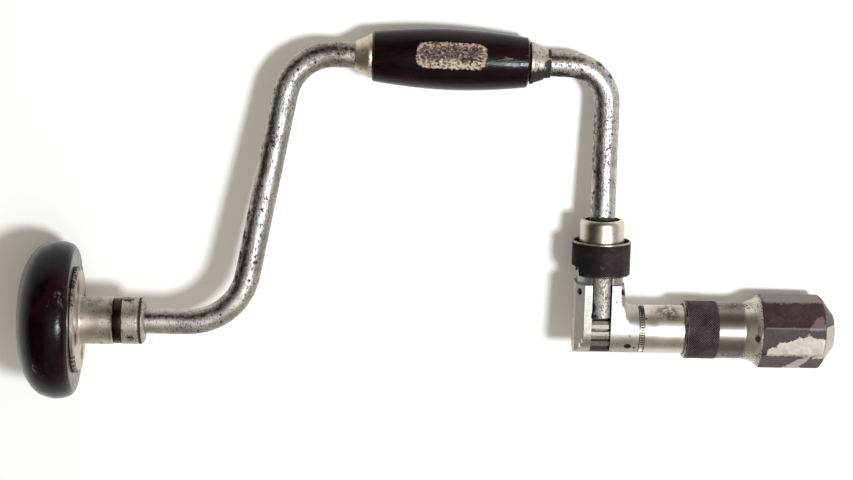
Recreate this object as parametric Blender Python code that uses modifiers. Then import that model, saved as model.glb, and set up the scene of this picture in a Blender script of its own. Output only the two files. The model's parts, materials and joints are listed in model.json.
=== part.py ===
"""A ratchet bit brace, modelled piece by piece at its real size, in metres.

The pieces are laid out in the brace's own frame: X runs along the main axis to the
chuck, Y up the end arm to the grip, Z square to the crank, and the origin is where
the arm meets the main axis. The whole brace is then leaned over, so that it lies on
its pad, its grip and one flat of its chuck, with the middle of its base at the origin.
"""
import math

import bmesh
import bpy
from mathutils import Matrix, Vector

# Clearances and cuts
GAP = 0.0003
RUNNING_GAP = 0.00034
OVERRUN = 0.001
WELD = 0.00001
STEP_LENGTH = 0.0001
CREASE_ANGLE = math.radians(32)

# How finely round pieces are turned
SIDES = 24
FINE_SIDES = 40
SMALL_SIDES = 12
ROD_RESOLUTION = 6
ARC_STEPS = 8
FILLET_STEPS = 3

# Crank rod
ROD_RADIUS = 0.0059
SWEEP_RADIUS = 0.1250
GRIP_DROP = 0.0033
GRIP_CENTRE = 0.0729
LEG_FOOT = 0.1692
LEG_TOP = 0.1446
FOOT_BEND = 0.028
LEG_TOP_BEND = 0.023
ARM_TOP_BEND = 0.018
JOURNAL_RADIUS = 0.0045
TENON_RADIUS = 0.0045
TENON_FLOOR = 0.0020

# Pad
PAD_RADIUS = 0.0368
PAD_DEPTH = 0.0259
PAD_FACE = -0.2447
PAD_WIDEST_SHARE = 0.36
PAD_OUTLINE_SHARES = (
    (0.0, 0.907), (0.012, 0.921), (0.06, 0.958), (0.15, 0.985), (0.255, 0.998), (PAD_WIDEST_SHARE, 1.0),
    (0.47, 0.983), (0.583, 0.953), (0.68, 0.905), (0.765, 0.838), (0.84, 0.755), (0.9, 0.659),
    (0.945, 0.545), (0.972, 0.42), (0.992, 0.24), (1.0, 0.0))
PAD_CAVITY_CLEARANCE = 0.0017
PAD_CAVITY_ROOM = 0.0032
PLATE_THICKNESS = 0.0018
PLATE_RADIUS = 0.0248
PLATE_EDGE = 0.0006
NECK_SLEEVE_RADIUS = 0.0111
NECK_SLEEVE_FILLET = 0.0012
NECK_SLEEVE_LENGTH = 0.0158
OIL_HOLE_RADIUS = 0.0008
OIL_HOLE_INSET = 0.0053
OIL_HOLE_ANGLE = math.radians(-61)
WASHER_RADIUS = 0.0078
WASHER_THICKNESS = 0.0013
NUT_SIDES = 6
NUT_RADIUS = 0.0072
NUT_THICKNESS = 0.0042
PAD_SCREW_CIRCLE = 0.0178
PAD_SCREW_HEAD = 0.0034
PAD_SCREW_SHANK = 0.0015
PAD_SCREW_LENGTH = 0.0125
PAD_SCREW_COUNT = 4
PAD_SCREW_PHASE = math.radians(19)
PAD_SCREW_SLOT = 0.0008
PAD_SCREW_SLOT_DEPTH = 0.0007
THRUST_RING_RADIUS = 0.0106
THRUST_RING_WIDTH = 0.0035
THRUST_RING_EDGE = 0.0005
PAD_COLLAR_RADIUS = 0.0109
PAD_COLLAR_LENGTH = 0.0106
PAD_COLLAR_GROOVE = 0.0005
PAD_COLLAR_CROWN = 0.0026
PAD_COLLAR_CROWN_ANGLE = math.radians(80)
PAD_PIN_RADIUS = 0.0012
PAD_PIN_ANGLE = math.radians(-28)

# Grip and its ferrules, measured along the grip from its middle
GRIP_LENGTH = 0.0714
GRIP_END_RADIUS = 0.0114
GRIP_MIDDLE_RADIUS = 0.0141
GRIP_EDGE = 0.0007
GRIP_SWELL_POWER = 0.9
GRIP_STATIONS = 10
FERRULE_LIP = 0.0015
FERRULE_LIP_HEIGHT = 0.0005
LEFT_FERRULE_LENGTH = 0.0076
LEFT_FERRULE_SMALL = 0.0066
LEFT_FERRULE_LARGE = 0.0101
RIGHT_FERRULE_GAP = 0.00105
RIGHT_FERRULE_LENGTH = 0.0094
RIGHT_FERRULE_LARGE = 0.0097
RIGHT_FERRULE_STEP = 0.0076
RIGHT_FERRULE_STEP_PLACE = 0.0064
RIGHT_FERRULE_SMALL = 0.0066

# Ratchet head
HEAD_HALF_WIDTH = 0.01135
HEAD_HEIGHT = 0.0224
HEAD_LEFT = 0.0119
HEAD_FLAT = 0.0087
HEAD_LEFT_FLAT = 0.0081
HEAD_LEFT_HALF_WIDTH = 0.0063
HEAD_NECK_END = 0.0180
HEAD_RIGHT_WALL = 0.0110
HEAD_FILLET_RUN = 0.0190
HEAD_FILLET_POWER = 2.3
NECK_FILLET_HEIGHT = 0.0034
NECK_FILLET_END = 0.0168
LOWER_NECK_RADIUS = 0.0107
UPPER_NECK_RADIUS = 0.0091
UPPER_NECK_LENGTH = 0.0118
NECK_ROOF = 0.0011
NECK_OVERLAP = 0.0012
HEAD_LOWER_STEPS = 14
HEAD_UPPER_STEPS = 12
CHAMFER_STATION_SHARES = (0, 0.25, 0.5, 0.75)
WALL_STATION_SHARES = (0.03, 0.09, 0.18, 0.4, 0.7)
FILLET_STATION_SHARES = (0.2, 0.45, 0.7)
GEAR_BORE_CLEARANCE = 0.0005
GEAR_END_CLEARANCE = 0.0009
SLOT_FLOOR = 0.0060
SLOT_TOP_CLEARANCE = 0.0011
HEAD_SCREW_RADIUS = 0.0013
HEAD_SCREW_HEIGHT = 0.0190
HEAD_SCREW_ANGLE = math.radians(39)
HEAD_SCREW_OUTER = 0.0122
HEAD_SCREW_SINK = 0.0030
PLUG_RADIUS = 0.0052
PLUG_THICKNESS = 0.0016
BUSH_CLEARANCE = 0.0006
BEARING_SCREW_RADIUS = 0.0014
BEARING_SCREW_INSET = 0.0052
BEARING_SCREW_ANGLE = math.radians(-36)
BEARING_SCREW_SINK = 0.0007

# Cap nut and direction ring
CAP_RADIUS = 0.0105
CAP_RISE = 0.0065
CAP_CLEARANCE = 0.0004
CAP_OPENING = 0.0082
CAP_CHAMFER_WIDTH = 0.0016
CAP_CHAMFER_HEIGHT = 0.0026
RING_RADIUS = 0.0137
RING_WALL = 0.0010
RING_DROP = 0.0075
RING_RISE = 0.0083
RING_FLANGE = 0.0024
RING_NOTCH_HEIGHT = 0.0043
RING_NOTCH_CHORD = 0.0109

# Pawls and their springs
PAWL_WIDTH = 0.0084
PAWL_SIDE_GAP = 0.00035
PAWL_CROWN = 0.0113
PAWL_SHOULDER = 0.0092
PAWL_TIP = 0.0069
PAWL_TOP = 0.0290
PAWL_TRAVEL = 0.0025
PAWL_SEAT_DEPTH = 0.0070
SPRING_WIRE = 0.00025
SPRING_RADIUS = 0.00115
SPRING_TURNS = 5
SPRING_POINTS = 8

# Ratchet gear and spindle
GEAR_TEETH = 12
GEAR_RADIUS = 0.0096
GEAR_ROOT = 0.0081
GEAR_HALF_WIDTH = 0.0076
GEAR_GAP_SHARE = 0.27
GEAR_ROOT_SHARE = 0.3
GEAR_TOP_SHARE = 0.5
GEAR_PHASE = math.radians(5.5)
GEAR_SEAT_RADIUS = 0.0055
TAIL_RADIUS = 0.0046
SPINDLE_JOURNAL_RADIUS = 0.0072
NECK_RING_WIDTH = 0.0021
BARREL_RADIUS = 0.01135
BARREL_SHOWN = 0.0189
BARREL_REACH = 0.0074
STEM_RADIUS = 0.0090
STEM_CLEARANCE = 0.0040
JAW_SLOT_DEPTH = 0.0200

# Chuck shell
KNURL_RADIUS = 0.0136
KNURL_LENGTH = 0.0155
BAND_RADIUS = 0.01335
BAND_LENGTH = 0.0126
FLARE_LENGTH = 0.0089
FLARE_STEP_PLACE = 0.0050
FLARE_STEP_RADIUS = 0.0149
OCTAGON_CORNER = 0.0176
OCTAGON_SIDES = 8
OCTAGON_LENGTH = 0.0264
NOSE_LENGTH = 0.0072
NOSE_RIM_RADIUS = 0.0094
NOSE_RIM_DEPTH = 0.0007
NOSE_TIP_RADIUS = 0.0087
NOSE_BORE = 0.0074
NOSE_WALL = 0.0052
THREAD_BORE_INSET = 0.0090
CAVITY_RADIUS = 0.0125
CAVITY_TAPER = 0.0020
SHELL_TRAVEL = 0.0050
EDGE_BREAK = 0.0002

# Closing ring and jaws
JAW_TAPER = math.radians(15)
CLOSING_RING_LENGTH = 0.0100
CLOSING_RING_TAPER = 0.0054
CLOSING_RING_FRONT_RADIUS = 0.0100
JAW_WIDTH = 0.0084
JAW_SHANK_RADIUS = 0.0063
JAW_RAMP_LENGTH = 0.0080
JAW_HEEL_REACH = 0.0030
JAW_SINK = 0.0007
JAW_GROOVE_SIDES = 4
JAW_GROOVE = 0.00335
JAW_GROOVE_LENGTH = 0.0245
JAW_MEETING_GAP = 0.00015
JAW_SPRING_INSET = 0.0065
JAW_SPRING_RADIUS = 0.0010
JAW_SPRING_TURNS = 5
JAW_SPRING_CLEARANCE = 0.00025
JAW_SPRING_SOCKET_DEPTH = 0.0035

# Finishes: colour, roughness, metallic
FINISHES = {
    "nickel": ((0.60, 0.56, 0.50, 1.0), 0.30, 1.0),
    "warm_nickel": ((0.56, 0.50, 0.38, 1.0), 0.32, 1.0),
    "dark_steel": ((0.10, 0.085, 0.075, 1.0), 0.45, 0.8),
    "steel": ((0.45, 0.42, 0.38, 1.0), 0.38, 1.0),
    "black_wood": ((0.022, 0.010, 0.012, 1.0), 0.28, 0.0),
    "black_knurl": ((0.045, 0.035, 0.034, 1.0), 0.55, 0.3),
    "black_paint": ((0.035, 0.026, 0.026, 1.0), 0.45, 0.0),
}


def clear_scene():
    """Remove what the scene holds, so that the script can run twice."""
    for item in list(bpy.data.objects):
        bpy.data.objects.remove(item, do_unlink=True)
    for collection in list(bpy.data.collections):
        bpy.data.collections.remove(collection)


def new_collection(name):
    collection = bpy.data.collections.new(name)
    bpy.context.scene.collection.children.link(collection)
    return collection


clear_scene()
PARTS = new_collection("bit_brace")
CUTTERS = new_collection("cutters")


def finish_material(finish):
    """The Principled material of a finish, made on its first use."""
    material = bpy.data.materials.get(finish)
    if material is None:
        colour, roughness, metallic = FINISHES[finish]
        material = bpy.data.materials.new(finish)
        material.use_nodes = True
        shader = material.node_tree.nodes["Principled BSDF"]
        shader.inputs["Base Color"].default_value = colour
        shader.inputs["Roughness"].default_value = roughness
        shader.inputs["Metallic"].default_value = metallic
        material.diffuse_color = colour
    return material


def place(name, data, finish, parent):
    """A new object: a piece when it has a finish, a cutter when it has none."""
    piece = bpy.data.objects.new(name, data)
    piece.parent = parent
    if finish is None:
        CUTTERS.objects.link(piece)
        piece.hide_render = True
        piece.display_type = "WIRE"
    else:
        PARTS.objects.link(piece)
        data.materials.append(finish_material(finish))
    return piece


def axis_frame(name, parent, along, side, origin):
    """An empty whose Z runs along an axis and whose X points to one side of it."""
    z_axis = Vector(along).normalized()
    x_axis = Vector(side)
    x_axis = (x_axis - x_axis.project(z_axis)).normalized()
    y_axis = z_axis.cross(x_axis)
    empty = bpy.data.objects.new(name, None)
    empty.empty_display_size = PAD_RADIUS
    PARTS.objects.link(empty)
    empty.parent = parent
    basis = Matrix((x_axis, y_axis, z_axis)).transposed().to_4x4()
    basis.translation = Vector(origin)
    empty.matrix_basis = basis
    return empty


def made_real(piece):
    """Give a piece the mesh that its curve or modifiers make, welded and creased."""
    bpy.context.view_layer.update()
    depsgraph = bpy.context.evaluated_depsgraph_get()
    mesh = bpy.data.meshes.new_from_object(piece.evaluated_get(depsgraph))
    work = bmesh.new()
    work.from_mesh(mesh)
    bmesh.ops.remove_doubles(work, verts=work.verts, dist=WELD)
    work.to_mesh(mesh)
    work.free()
    mesh.shade_smooth()
    mesh.set_sharp_from_angle(angle=CREASE_ANGLE)
    if piece.type == "MESH":
        piece.modifiers.clear()
        piece.data = mesh
        return piece
    solid = bpy.data.objects.new(piece.name + "_mesh", mesh)
    for collection in piece.users_collection:
        collection.objects.link(solid)
    solid.parent = piece.parent
    solid.matrix_world = piece.matrix_world
    solid.hide_render = piece.hide_render
    solid.display_type = piece.display_type
    name = piece.name
    bpy.data.objects.remove(piece, do_unlink=True)
    solid.name = name
    return solid


def turned(name, outline, finish, parent, sides=SIDES):
    """A turned piece: (radius, height) points run down its outer side, top to bottom.

    An outline that starts away from the axis is closed round a bore.
    """
    points = [(radius, 0, height) for radius, height in outline]
    edges = [(index, index + 1) for index in range(len(points) - 1)]
    if outline[0][0] > 0:
        edges.append((len(points) - 1, 0))
    mesh = bpy.data.meshes.new(name)
    mesh.from_pydata(points, edges, [])
    piece = place(name, mesh, finish, parent)
    screw = piece.modifiers.new("turning", "SCREW")
    screw.steps = sides
    screw.render_steps = sides
    screw.use_merge_vertices = True
    screw.merge_threshold = WELD
    return made_real(piece)


def tube_outline(outer, inner, top, bottom, edge=0):
    """A plain ring's outline, with an optional chamfer at both outer edges."""
    if edge == 0:
        return [(outer, top), (outer, bottom), (inner, bottom), (inner, top)]
    return [(outer - edge, top), (outer, top - edge), (outer, bottom + edge),
            (outer - edge, bottom), (inner, bottom), (inner, top)]


def bar_outline(radius, top, bottom, edge=0):
    """A plain round bar's outline, with an optional chamfer at both ends."""
    if edge == 0:
        return [(0, top), (radius, top), (radius, bottom), (0, bottom)]
    return [(0, top), (radius - edge, top), (radius, top - edge), (radius, bottom + edge),
            (radius - edge, bottom), (0, bottom)]


def box(name, low, high, finish, parent):
    """A box between two corners of its parent's frame."""
    work = bmesh.new()
    bmesh.ops.create_cube(work, size=1)
    size = Vector(high) - Vector(low)
    middle = (Vector(high) + Vector(low)) / 2
    bmesh.ops.scale(work, vec=size, verts=work.verts)
    bmesh.ops.translate(work, vec=middle, verts=work.verts)
    mesh = bpy.data.meshes.new(name)
    work.to_mesh(mesh)
    work.free()
    return place(name, mesh, finish, parent)


def prism(name, sides, radius, low, high, finish, parent, phase=0):
    """A regular prism along its parent's Z, its first corner turned by the phase."""
    work = bmesh.new()
    bmesh.ops.create_cone(work, cap_ends=True, segments=sides, radius1=radius,
                          radius2=radius, depth=high - low)
    bmesh.ops.rotate(work, verts=work.verts, matrix=Matrix.Rotation(phase, 3, "Z"))
    bmesh.ops.translate(work, vec=(0, 0, (high + low) / 2), verts=work.verts)
    mesh = bpy.data.meshes.new(name)
    work.to_mesh(mesh)
    work.free()
    return place(name, mesh, finish, parent)


def flat_outline(name, loops, low, high, finish, parent):
    """A flat outline of one or more loops, extruded between two heights."""
    curve = bpy.data.curves.new(name, "CURVE")
    curve.dimensions = "2D"
    curve.fill_mode = "BOTH"
    curve.extrude = (high - low) / 2
    for loop in loops:
        spline = curve.splines.new("POLY")
        spline.points.add(len(loop) - 1)
        spline.use_cyclic_u = True
        for point, (x, y) in zip(spline.points, loop):
            point.co = (x, y, 0, 1)
    piece = place(name, curve, finish, parent)
    piece.location.z = (high + low) / 2
    return made_real(piece)


def wire(name, points, radius, resolution, finish, parent, shares=None):
    """A wire or rod along points, each with its own share of the radius."""
    curve = bpy.data.curves.new(name, "CURVE")
    curve.dimensions = "3D"
    curve.bevel_depth = radius
    curve.bevel_resolution = resolution
    curve.use_fill_caps = True
    spline = curve.splines.new("POLY")
    spline.points.add(len(points) - 1)
    for index, point in enumerate(points):
        spline.points[index].co = (*point, 1)
        spline.points[index].radius = shares[index] if shares else 1
    piece = place(name, curve, finish, parent)
    return made_real(piece)


def modify(piece, tool, operation):
    """Cut a piece with a tool, join them or keep what they share."""
    boolean = piece.modifiers.new(operation.lower(), "BOOLEAN")
    boolean.operation = operation
    boolean.solver = "EXACT"
    boolean.object = tool


def cut(piece, *tools):
    for tool in tools:
        modify(piece, tool, "DIFFERENCE")


def arc(centre, radius, start, end, steps):
    """Points along an arc in a plane, both ends included."""
    angles = [start + (end - start) * step / steps for step in range(steps + 1)]
    return [(centre[0] + radius * math.cos(angle), centre[1] + radius * math.sin(angle))
            for angle in angles]


def rounded_path(corners, radii):
    """Points along straight runs joined by arcs tangent to them."""
    path = [Vector(corners[0])]
    for before, corner, after, radius in zip(corners, corners[1:], corners[2:], radii):
        corner = Vector(corner)
        towards = (Vector(before) - corner).normalized()
        away = (Vector(after) - corner).normalized()
        half = towards.angle(away) / 2
        centre = corner + (towards + away).normalized() * radius / math.sin(half)
        start = corner + towards * radius / math.tan(half) - centre
        end = corner + away * radius / math.tan(half) - centre
        sweep = start.angle(end)
        for step in range(ARC_STEPS + 1):
            turn = sweep * step / ARC_STEPS
            share = math.sin(sweep - turn) / math.sin(sweep)
            end_share = math.sin(turn) / math.sin(sweep)
            path.append(centre + start * share + end * end_share)
    path.append(Vector(corners[-1]))
    return path


def coil(radius, wire_radius, low, high, turns):
    """A helix about Z between two heights, with the least gap between its turns."""
    rise = high - low - 2 * wire_radius
    count = turns * SPRING_POINTS
    points = []
    for index in range(count + 1):
        angle = 2 * math.pi * index / SPRING_POINTS
        height = low + wire_radius + rise * index / count
        points.append((radius * math.cos(angle), radius * math.sin(angle), height))
    centres = [Vector(point) for point in points]
    least = min((centres[one] - centres[two]).length
                for one in range(count + 1)
                for two in range(one + SPRING_POINTS - 2, count + 1))
    print("least gap between turns, mm:", round((least - 2 * wire_radius) * 1000, 3))
    return points


# Places up the arm, from the gear to the cap nut
GEAR_BORE_RADIUS = GEAR_RADIUS + GEAR_BORE_CLEARANCE
TENON_END = GEAR_BORE_RADIUS + TENON_FLOOR
SLOT_WIDTH = PAWL_WIDTH + 2 * PAWL_SIDE_GAP
SLOT_TOP = PAWL_TOP + PAWL_TRAVEL + SLOT_TOP_CLEARANCE
LOWER_NECK_TOP = SLOT_TOP + NECK_ROOF
UPPER_NECK_TOP = LOWER_NECK_TOP + UPPER_NECK_LENGTH
SHOULDER_HEIGHT = UPPER_NECK_TOP + GAP
RING_BOTTOM = LOWER_NECK_TOP - RING_DROP
RING_TOP = LOWER_NECK_TOP + RING_RISE
FLANGE_BOTTOM = LOWER_NECK_TOP + GAP
FLANGE_TOP = FLANGE_BOTTOM + RING_FLANGE
CAP_BOTTOM = FLANGE_TOP + CAP_CLEARANCE
CAP_TOP = UPPER_NECK_TOP + CAP_RISE

# Places along the main axis, from the head's neck to the chuck's nose
NECK_RING_START = HEAD_NECK_END + GAP
BARREL_START = NECK_RING_START + NECK_RING_WIDTH + GAP
SHELL_REAR = BARREL_START + BARREL_SHOWN
BARREL_END = SHELL_REAR + BARREL_REACH
KNURL_END = SHELL_REAR + KNURL_LENGTH
FLARE_START = KNURL_END + BAND_LENGTH
FLARE_END = FLARE_START + FLARE_LENGTH
OCTAGON_END = FLARE_END + OCTAGON_LENGTH
NOSE_TIP = OCTAGON_END + NOSE_LENGTH
CLOSING_RING_FRONT = NOSE_TIP - NOSE_WALL
CLOSING_RING_REAR = CLOSING_RING_FRONT - CLOSING_RING_LENGTH
CAVITY_END = CLOSING_RING_FRONT - CLOSING_RING_TAPER
JAW_TIP = NOSE_TIP - JAW_SINK
JAW_GROOVE_START = JAW_TIP - JAW_GROOVE_LENGTH
JAW_HEEL = CLOSING_RING_REAR - JAW_HEEL_REACH
JAW_HEEL_START = JAW_HEEL - JAW_RAMP_LENGTH
STEM_END = JAW_HEEL_START - STEM_CLEARANCE
JAW_SLOT_START = STEM_END - JAW_SLOT_DEPTH
JAW_SLOT_WIDTH = JAW_WIDTH + 2 * GAP
JAW_SPRING_PLACE = JAW_SLOT_START + JAW_SPRING_INSET
THREAD_BORE_END = STEM_END - THREAD_BORE_INSET
CAVITY_START = THREAD_BORE_END + CAVITY_TAPER

# Places in and before the pad, from its wooden face
PLATE_BACK = PAD_FACE + GAP
PLATE_FRONT = PLATE_BACK + PLATE_THICKNESS
NECK_SLEEVE_END = PLATE_FRONT + NECK_SLEEVE_LENGTH
THRUST_RING_START = NECK_SLEEVE_END + GAP
COLLAR_START = THRUST_RING_START + THRUST_RING_WIDTH + GAP
COLLAR_END = COLLAR_START + PAD_COLLAR_LENGTH
WASHER_FRONT = PLATE_BACK - GAP
WASHER_BACK = WASHER_FRONT - WASHER_THICKNESS
NUT_BACK = WASHER_BACK - GAP - NUT_THICKNESS
JOURNAL_END = NUT_BACK - 2 * STEP_LENGTH
PAD_CAVITY_FLOOR = JOURNAL_END - PAD_CAVITY_ROOM

# The lean that lays the brace on its pad, grip and chuck
OCTAGON_FLAT = OCTAGON_CORNER * math.cos(math.pi / OCTAGON_SIDES)
PAD_WIDEST = PAD_FACE - PAD_WIDEST_SHARE * PAD_DEPTH
PITCH = math.atan((PAD_RADIUS - OCTAGON_FLAT) / (OCTAGON_END - PAD_WIDEST))
ARM_TOP_HEIGHT = SWEEP_RADIUS - GRIP_DROP * GRIP_CENTRE / LEG_TOP
LEG_TOP_HEIGHT = ARM_TOP_HEIGHT + GRIP_DROP


def down_direction():
    """The direction of the floor, square to all three contacts."""
    fall_x = math.sin(PITCH)
    rise = fall_x * (OCTAGON_END + GRIP_CENTRE)
    rise += (OCTAGON_FLAT - GRIP_MIDDLE_RADIUS) * math.cos(PITCH)
    fall_y = rise / SWEEP_RADIUS
    return Vector((fall_x, fall_y, -math.sqrt(1 - fall_x ** 2 - fall_y ** 2)))


def leaned_root():
    """The empty that holds the whole brace and leans it over."""
    up = -down_direction()
    ahead = Vector((1, 0, 0))
    ahead = (ahead - ahead.project(up)).normalized()
    root = bpy.data.objects.new("brace_frame", None)
    root.empty_display_size = SWEEP_RADIUS
    PARTS.objects.link(root)
    root.matrix_basis = Matrix((ahead, up.cross(ahead), up)).to_4x4()
    return root


ROOT = leaned_root()
ALONG, ACROSS, OUT = (1, 0, 0), (0, 1, 0), (0, 0, 1)
HERE = (0, 0, 0)
# On the main axis local Z runs to the chuck, X towards the grip, Y out of the crank's plane
MAIN = axis_frame("main_axis", ROOT, ALONG, ACROSS, HERE)
# On the arm local Z runs to the grip, X out of the crank's plane, Y to the chuck
ARM = axis_frame("arm_axis", ROOT, ACROSS, OUT, HERE)
GRIP_AXIS = axis_frame("grip_axis", ROOT, (LEG_TOP, -GRIP_DROP, 0), OUT,
                       (-GRIP_CENTRE, SWEEP_RADIUS, 0))


def joint_frame(name, parent):
    """An empty on its parent's axis, which carries all that moves on one joint."""
    return axis_frame(name, parent, OUT, ALONG, HERE)


def radial_frame(name, angle, place_along):
    """An empty on the main axis, its Z pointing out at an angle from the crank's outward side.

    The angle grows towards the grip.
    """
    out = (math.sin(angle), math.cos(angle), 0)
    return axis_frame(name, MAIN, out, OUT, (0, 0, place_along))


PAD_TURN = joint_frame("pad_turn", MAIN)
GRIP_TURN = joint_frame("grip_turn", GRIP_AXIS)
RING_TURN = joint_frame("ring_turn", ARM)
SPINDLE_TURN = joint_frame("spindle_turn", MAIN)
CLOSING_RING_SLIDE = joint_frame("closing_ring_slide", SPINDLE_TURN)
SHELL_TURN = joint_frame("shell_turn", CLOSING_RING_SLIDE)


def make_crank_rod(pin_hole):
    """The bent rod, with a journal in the pad and a tenon in the head."""
    corners = [(COLLAR_START, 0, 0), (-LEG_FOOT, 0, 0), (-LEG_TOP, LEG_TOP_HEIGHT, 0),
               (0, ARM_TOP_HEIGHT, 0), (0, SHOULDER_HEIGHT, 0)]
    path = rounded_path(corners, (FOOT_BEND, LEG_TOP_BEND, ARM_TOP_BEND))
    rod_shares = [1] * len(path)
    journal_share = JOURNAL_RADIUS / ROD_RADIUS
    tenon_share = TENON_RADIUS / ROD_RADIUS
    journal = [Vector((JOURNAL_END, 0, 0)), Vector((COLLAR_START - STEP_LENGTH, 0, 0))]
    tenon = [Vector((0, SHOULDER_HEIGHT - STEP_LENGTH, 0)), Vector((0, TENON_END, 0))]
    path = journal + path + tenon
    radius_shares = [journal_share] * 2 + rod_shares + [tenon_share] * 2
    rod = wire("crank_rod", path, ROD_RADIUS, ROD_RESOLUTION, "nickel", ROOT, radius_shares)
    cut(rod, pin_hole)


def make_pad_collar():
    """The collar pinned on the rod, its pin, and the pin's hole, which the rod shares."""
    axis = radial_frame("pad_pin_axis", PAD_PIN_ANGLE,
                        (COLLAR_START + COLLAR_END - PAD_COLLAR_CROWN) / 2)
    reach = PAD_COLLAR_RADIUS + OVERRUN
    hole = turned("pad_pin_hole", bar_outline(PAD_PIN_RADIUS + GAP, reach, -reach), None, axis,
                  SMALL_SIDES)
    groove = COLLAR_END - PAD_COLLAR_CROWN
    bore = ROD_RADIUS + GAP
    crown = arc((PAD_COLLAR_RADIUS - PAD_COLLAR_CROWN, groove), PAD_COLLAR_CROWN,
                PAD_COLLAR_CROWN_ANGLE, 0, ARC_STEPS // 2)
    outline = [(bore, COLLAR_END)] + crown
    outline += [(PAD_COLLAR_RADIUS - PAD_COLLAR_GROOVE, groove - PAD_COLLAR_GROOVE),
                (PAD_COLLAR_RADIUS, groove - 2 * PAD_COLLAR_GROOVE),
                (PAD_COLLAR_RADIUS, COLLAR_START + PAD_COLLAR_GROOVE),
                (PAD_COLLAR_RADIUS - PAD_COLLAR_GROOVE, COLLAR_START), (bore, COLLAR_START)]
    collar = turned("pad_collar", outline, "nickel", MAIN)
    cut(collar, hole)
    end = PAD_COLLAR_RADIUS - GAP
    turned("pad_collar_pin", bar_outline(PAD_PIN_RADIUS, end, -end), "dark_steel", axis,
           SMALL_SIDES)
    return hole


def make_pad_end():
    """The washer and nut that hold the pad on the rod's journal."""
    bore = JOURNAL_RADIUS + GAP
    turned("pad_end_washer", tube_outline(WASHER_RADIUS, bore, WASHER_FRONT, WASHER_BACK),
           "steel", MAIN, SIDES)
    nut = prism("pad_end_nut", NUT_SIDES, NUT_RADIUS, NUT_BACK, NUT_BACK + NUT_THICKNESS, "steel",
                MAIN)
    hole = turned("nut_hole", bar_outline(bore, WASHER_FRONT, NUT_BACK - OVERRUN),
                  None, MAIN, SIDES)
    cut(nut, hole)


def screw_outline(growth):
    """A countersunk screw below the plate's face, grown all over by a clearance."""
    top = PLATE_FRONT - STEP_LENGTH if growth == 0 else PLATE_FRONT + OVERRUN
    cone_top = PLATE_FRONT - STEP_LENGTH
    cone_bottom = PLATE_BACK - PAD_SCREW_SLOT
    end = PLATE_FRONT - PAD_SCREW_LENGTH - growth
    outline = [(0, top)]
    if growth > 0:
        outline.append((PAD_SCREW_HEAD + growth, top))
    outline += [(PAD_SCREW_HEAD + growth, cone_top), (PAD_SCREW_SHANK + growth, cone_bottom),
                (PAD_SCREW_SHANK + growth, end), (0, end)]
    return outline


def make_pad():
    """The wooden pad, its steel flange, the flange's screws and the thrust ring."""
    face = [(PAD_RADIUS * radius_share, PAD_FACE - PAD_DEPTH * depth_share)
            for depth_share, radius_share in PAD_OUTLINE_SHARES]
    cavity_radius = WASHER_RADIUS + PAD_CAVITY_CLEARANCE
    outline = [(0, PAD_CAVITY_FLOOR), (cavity_radius, PAD_CAVITY_FLOOR),
               (cavity_radius, PAD_FACE)] + face
    wood = turned("pad_wood", outline, "black_wood", PAD_TURN, FINE_SIDES)
    bore = JOURNAL_RADIUS + RUNNING_GAP
    corner = (NECK_SLEEVE_RADIUS + NECK_SLEEVE_FILLET, PLATE_FRONT + NECK_SLEEVE_FILLET)
    fillet = arc(corner, NECK_SLEEVE_FILLET, math.pi, 1.5 * math.pi, FILLET_STEPS)
    outline = [(bore, NECK_SLEEVE_END), (NECK_SLEEVE_RADIUS - PLATE_EDGE, NECK_SLEEVE_END),
               (NECK_SLEEVE_RADIUS, NECK_SLEEVE_END - PLATE_EDGE)] + fillet
    outline += [(PLATE_RADIUS - PLATE_EDGE, PLATE_FRONT), (PLATE_RADIUS, PLATE_FRONT - PLATE_EDGE),
                (PLATE_RADIUS, PLATE_BACK), (bore, PLATE_BACK)]
    flange = turned("pad_flange", outline, "warm_nickel", PAD_TURN, FINE_SIDES)
    oil_frame = radial_frame("oil_hole_axis", OIL_HOLE_ANGLE, NECK_SLEEVE_END - OIL_HOLE_INSET)
    oil_hole = turned("oil_hole", bar_outline(OIL_HOLE_RADIUS, NECK_SLEEVE_RADIUS + OVERRUN,
                                              JOURNAL_RADIUS),
                      None, oil_frame, SMALL_SIDES)
    cut(flange, oil_hole)
    for number in range(PAD_SCREW_COUNT):
        angle = PAD_SCREW_PHASE + 2 * math.pi * number / PAD_SCREW_COUNT
        middle = (PAD_SCREW_CIRCLE * math.cos(angle), PAD_SCREW_CIRCLE * math.sin(angle), 0)
        axis = axis_frame(f"pad_screw_axis_{number + 1}", PAD_TURN, OUT,
                          (math.cos(angle), math.sin(angle), 0), middle)
        screw = turned(f"pad_screw_{number + 1}", screw_outline(0), "steel", axis, SMALL_SIDES)
        slot = box(f"pad_screw_slot_{number + 1}",
                   (-PAD_SCREW_SLOT / 2, -PAD_SCREW_HEAD - OVERRUN,
                    PLATE_FRONT - PAD_SCREW_SLOT_DEPTH),
                   (PAD_SCREW_SLOT / 2, PAD_SCREW_HEAD + OVERRUN, PLATE_FRONT + OVERRUN),
                   None, axis)
        cut(screw, slot)
        hole = turned(f"pad_screw_hole_{number + 1}", screw_outline(GAP), None, axis, SMALL_SIDES)
        cut(flange, hole)
        cut(wood, hole)
    ring_end = THRUST_RING_START + THRUST_RING_WIDTH
    turned("pad_thrust_ring", tube_outline(THRUST_RING_RADIUS, bore, ring_end,
                                           THRUST_RING_START, THRUST_RING_EDGE),
           "dark_steel", PAD_TURN)


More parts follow.
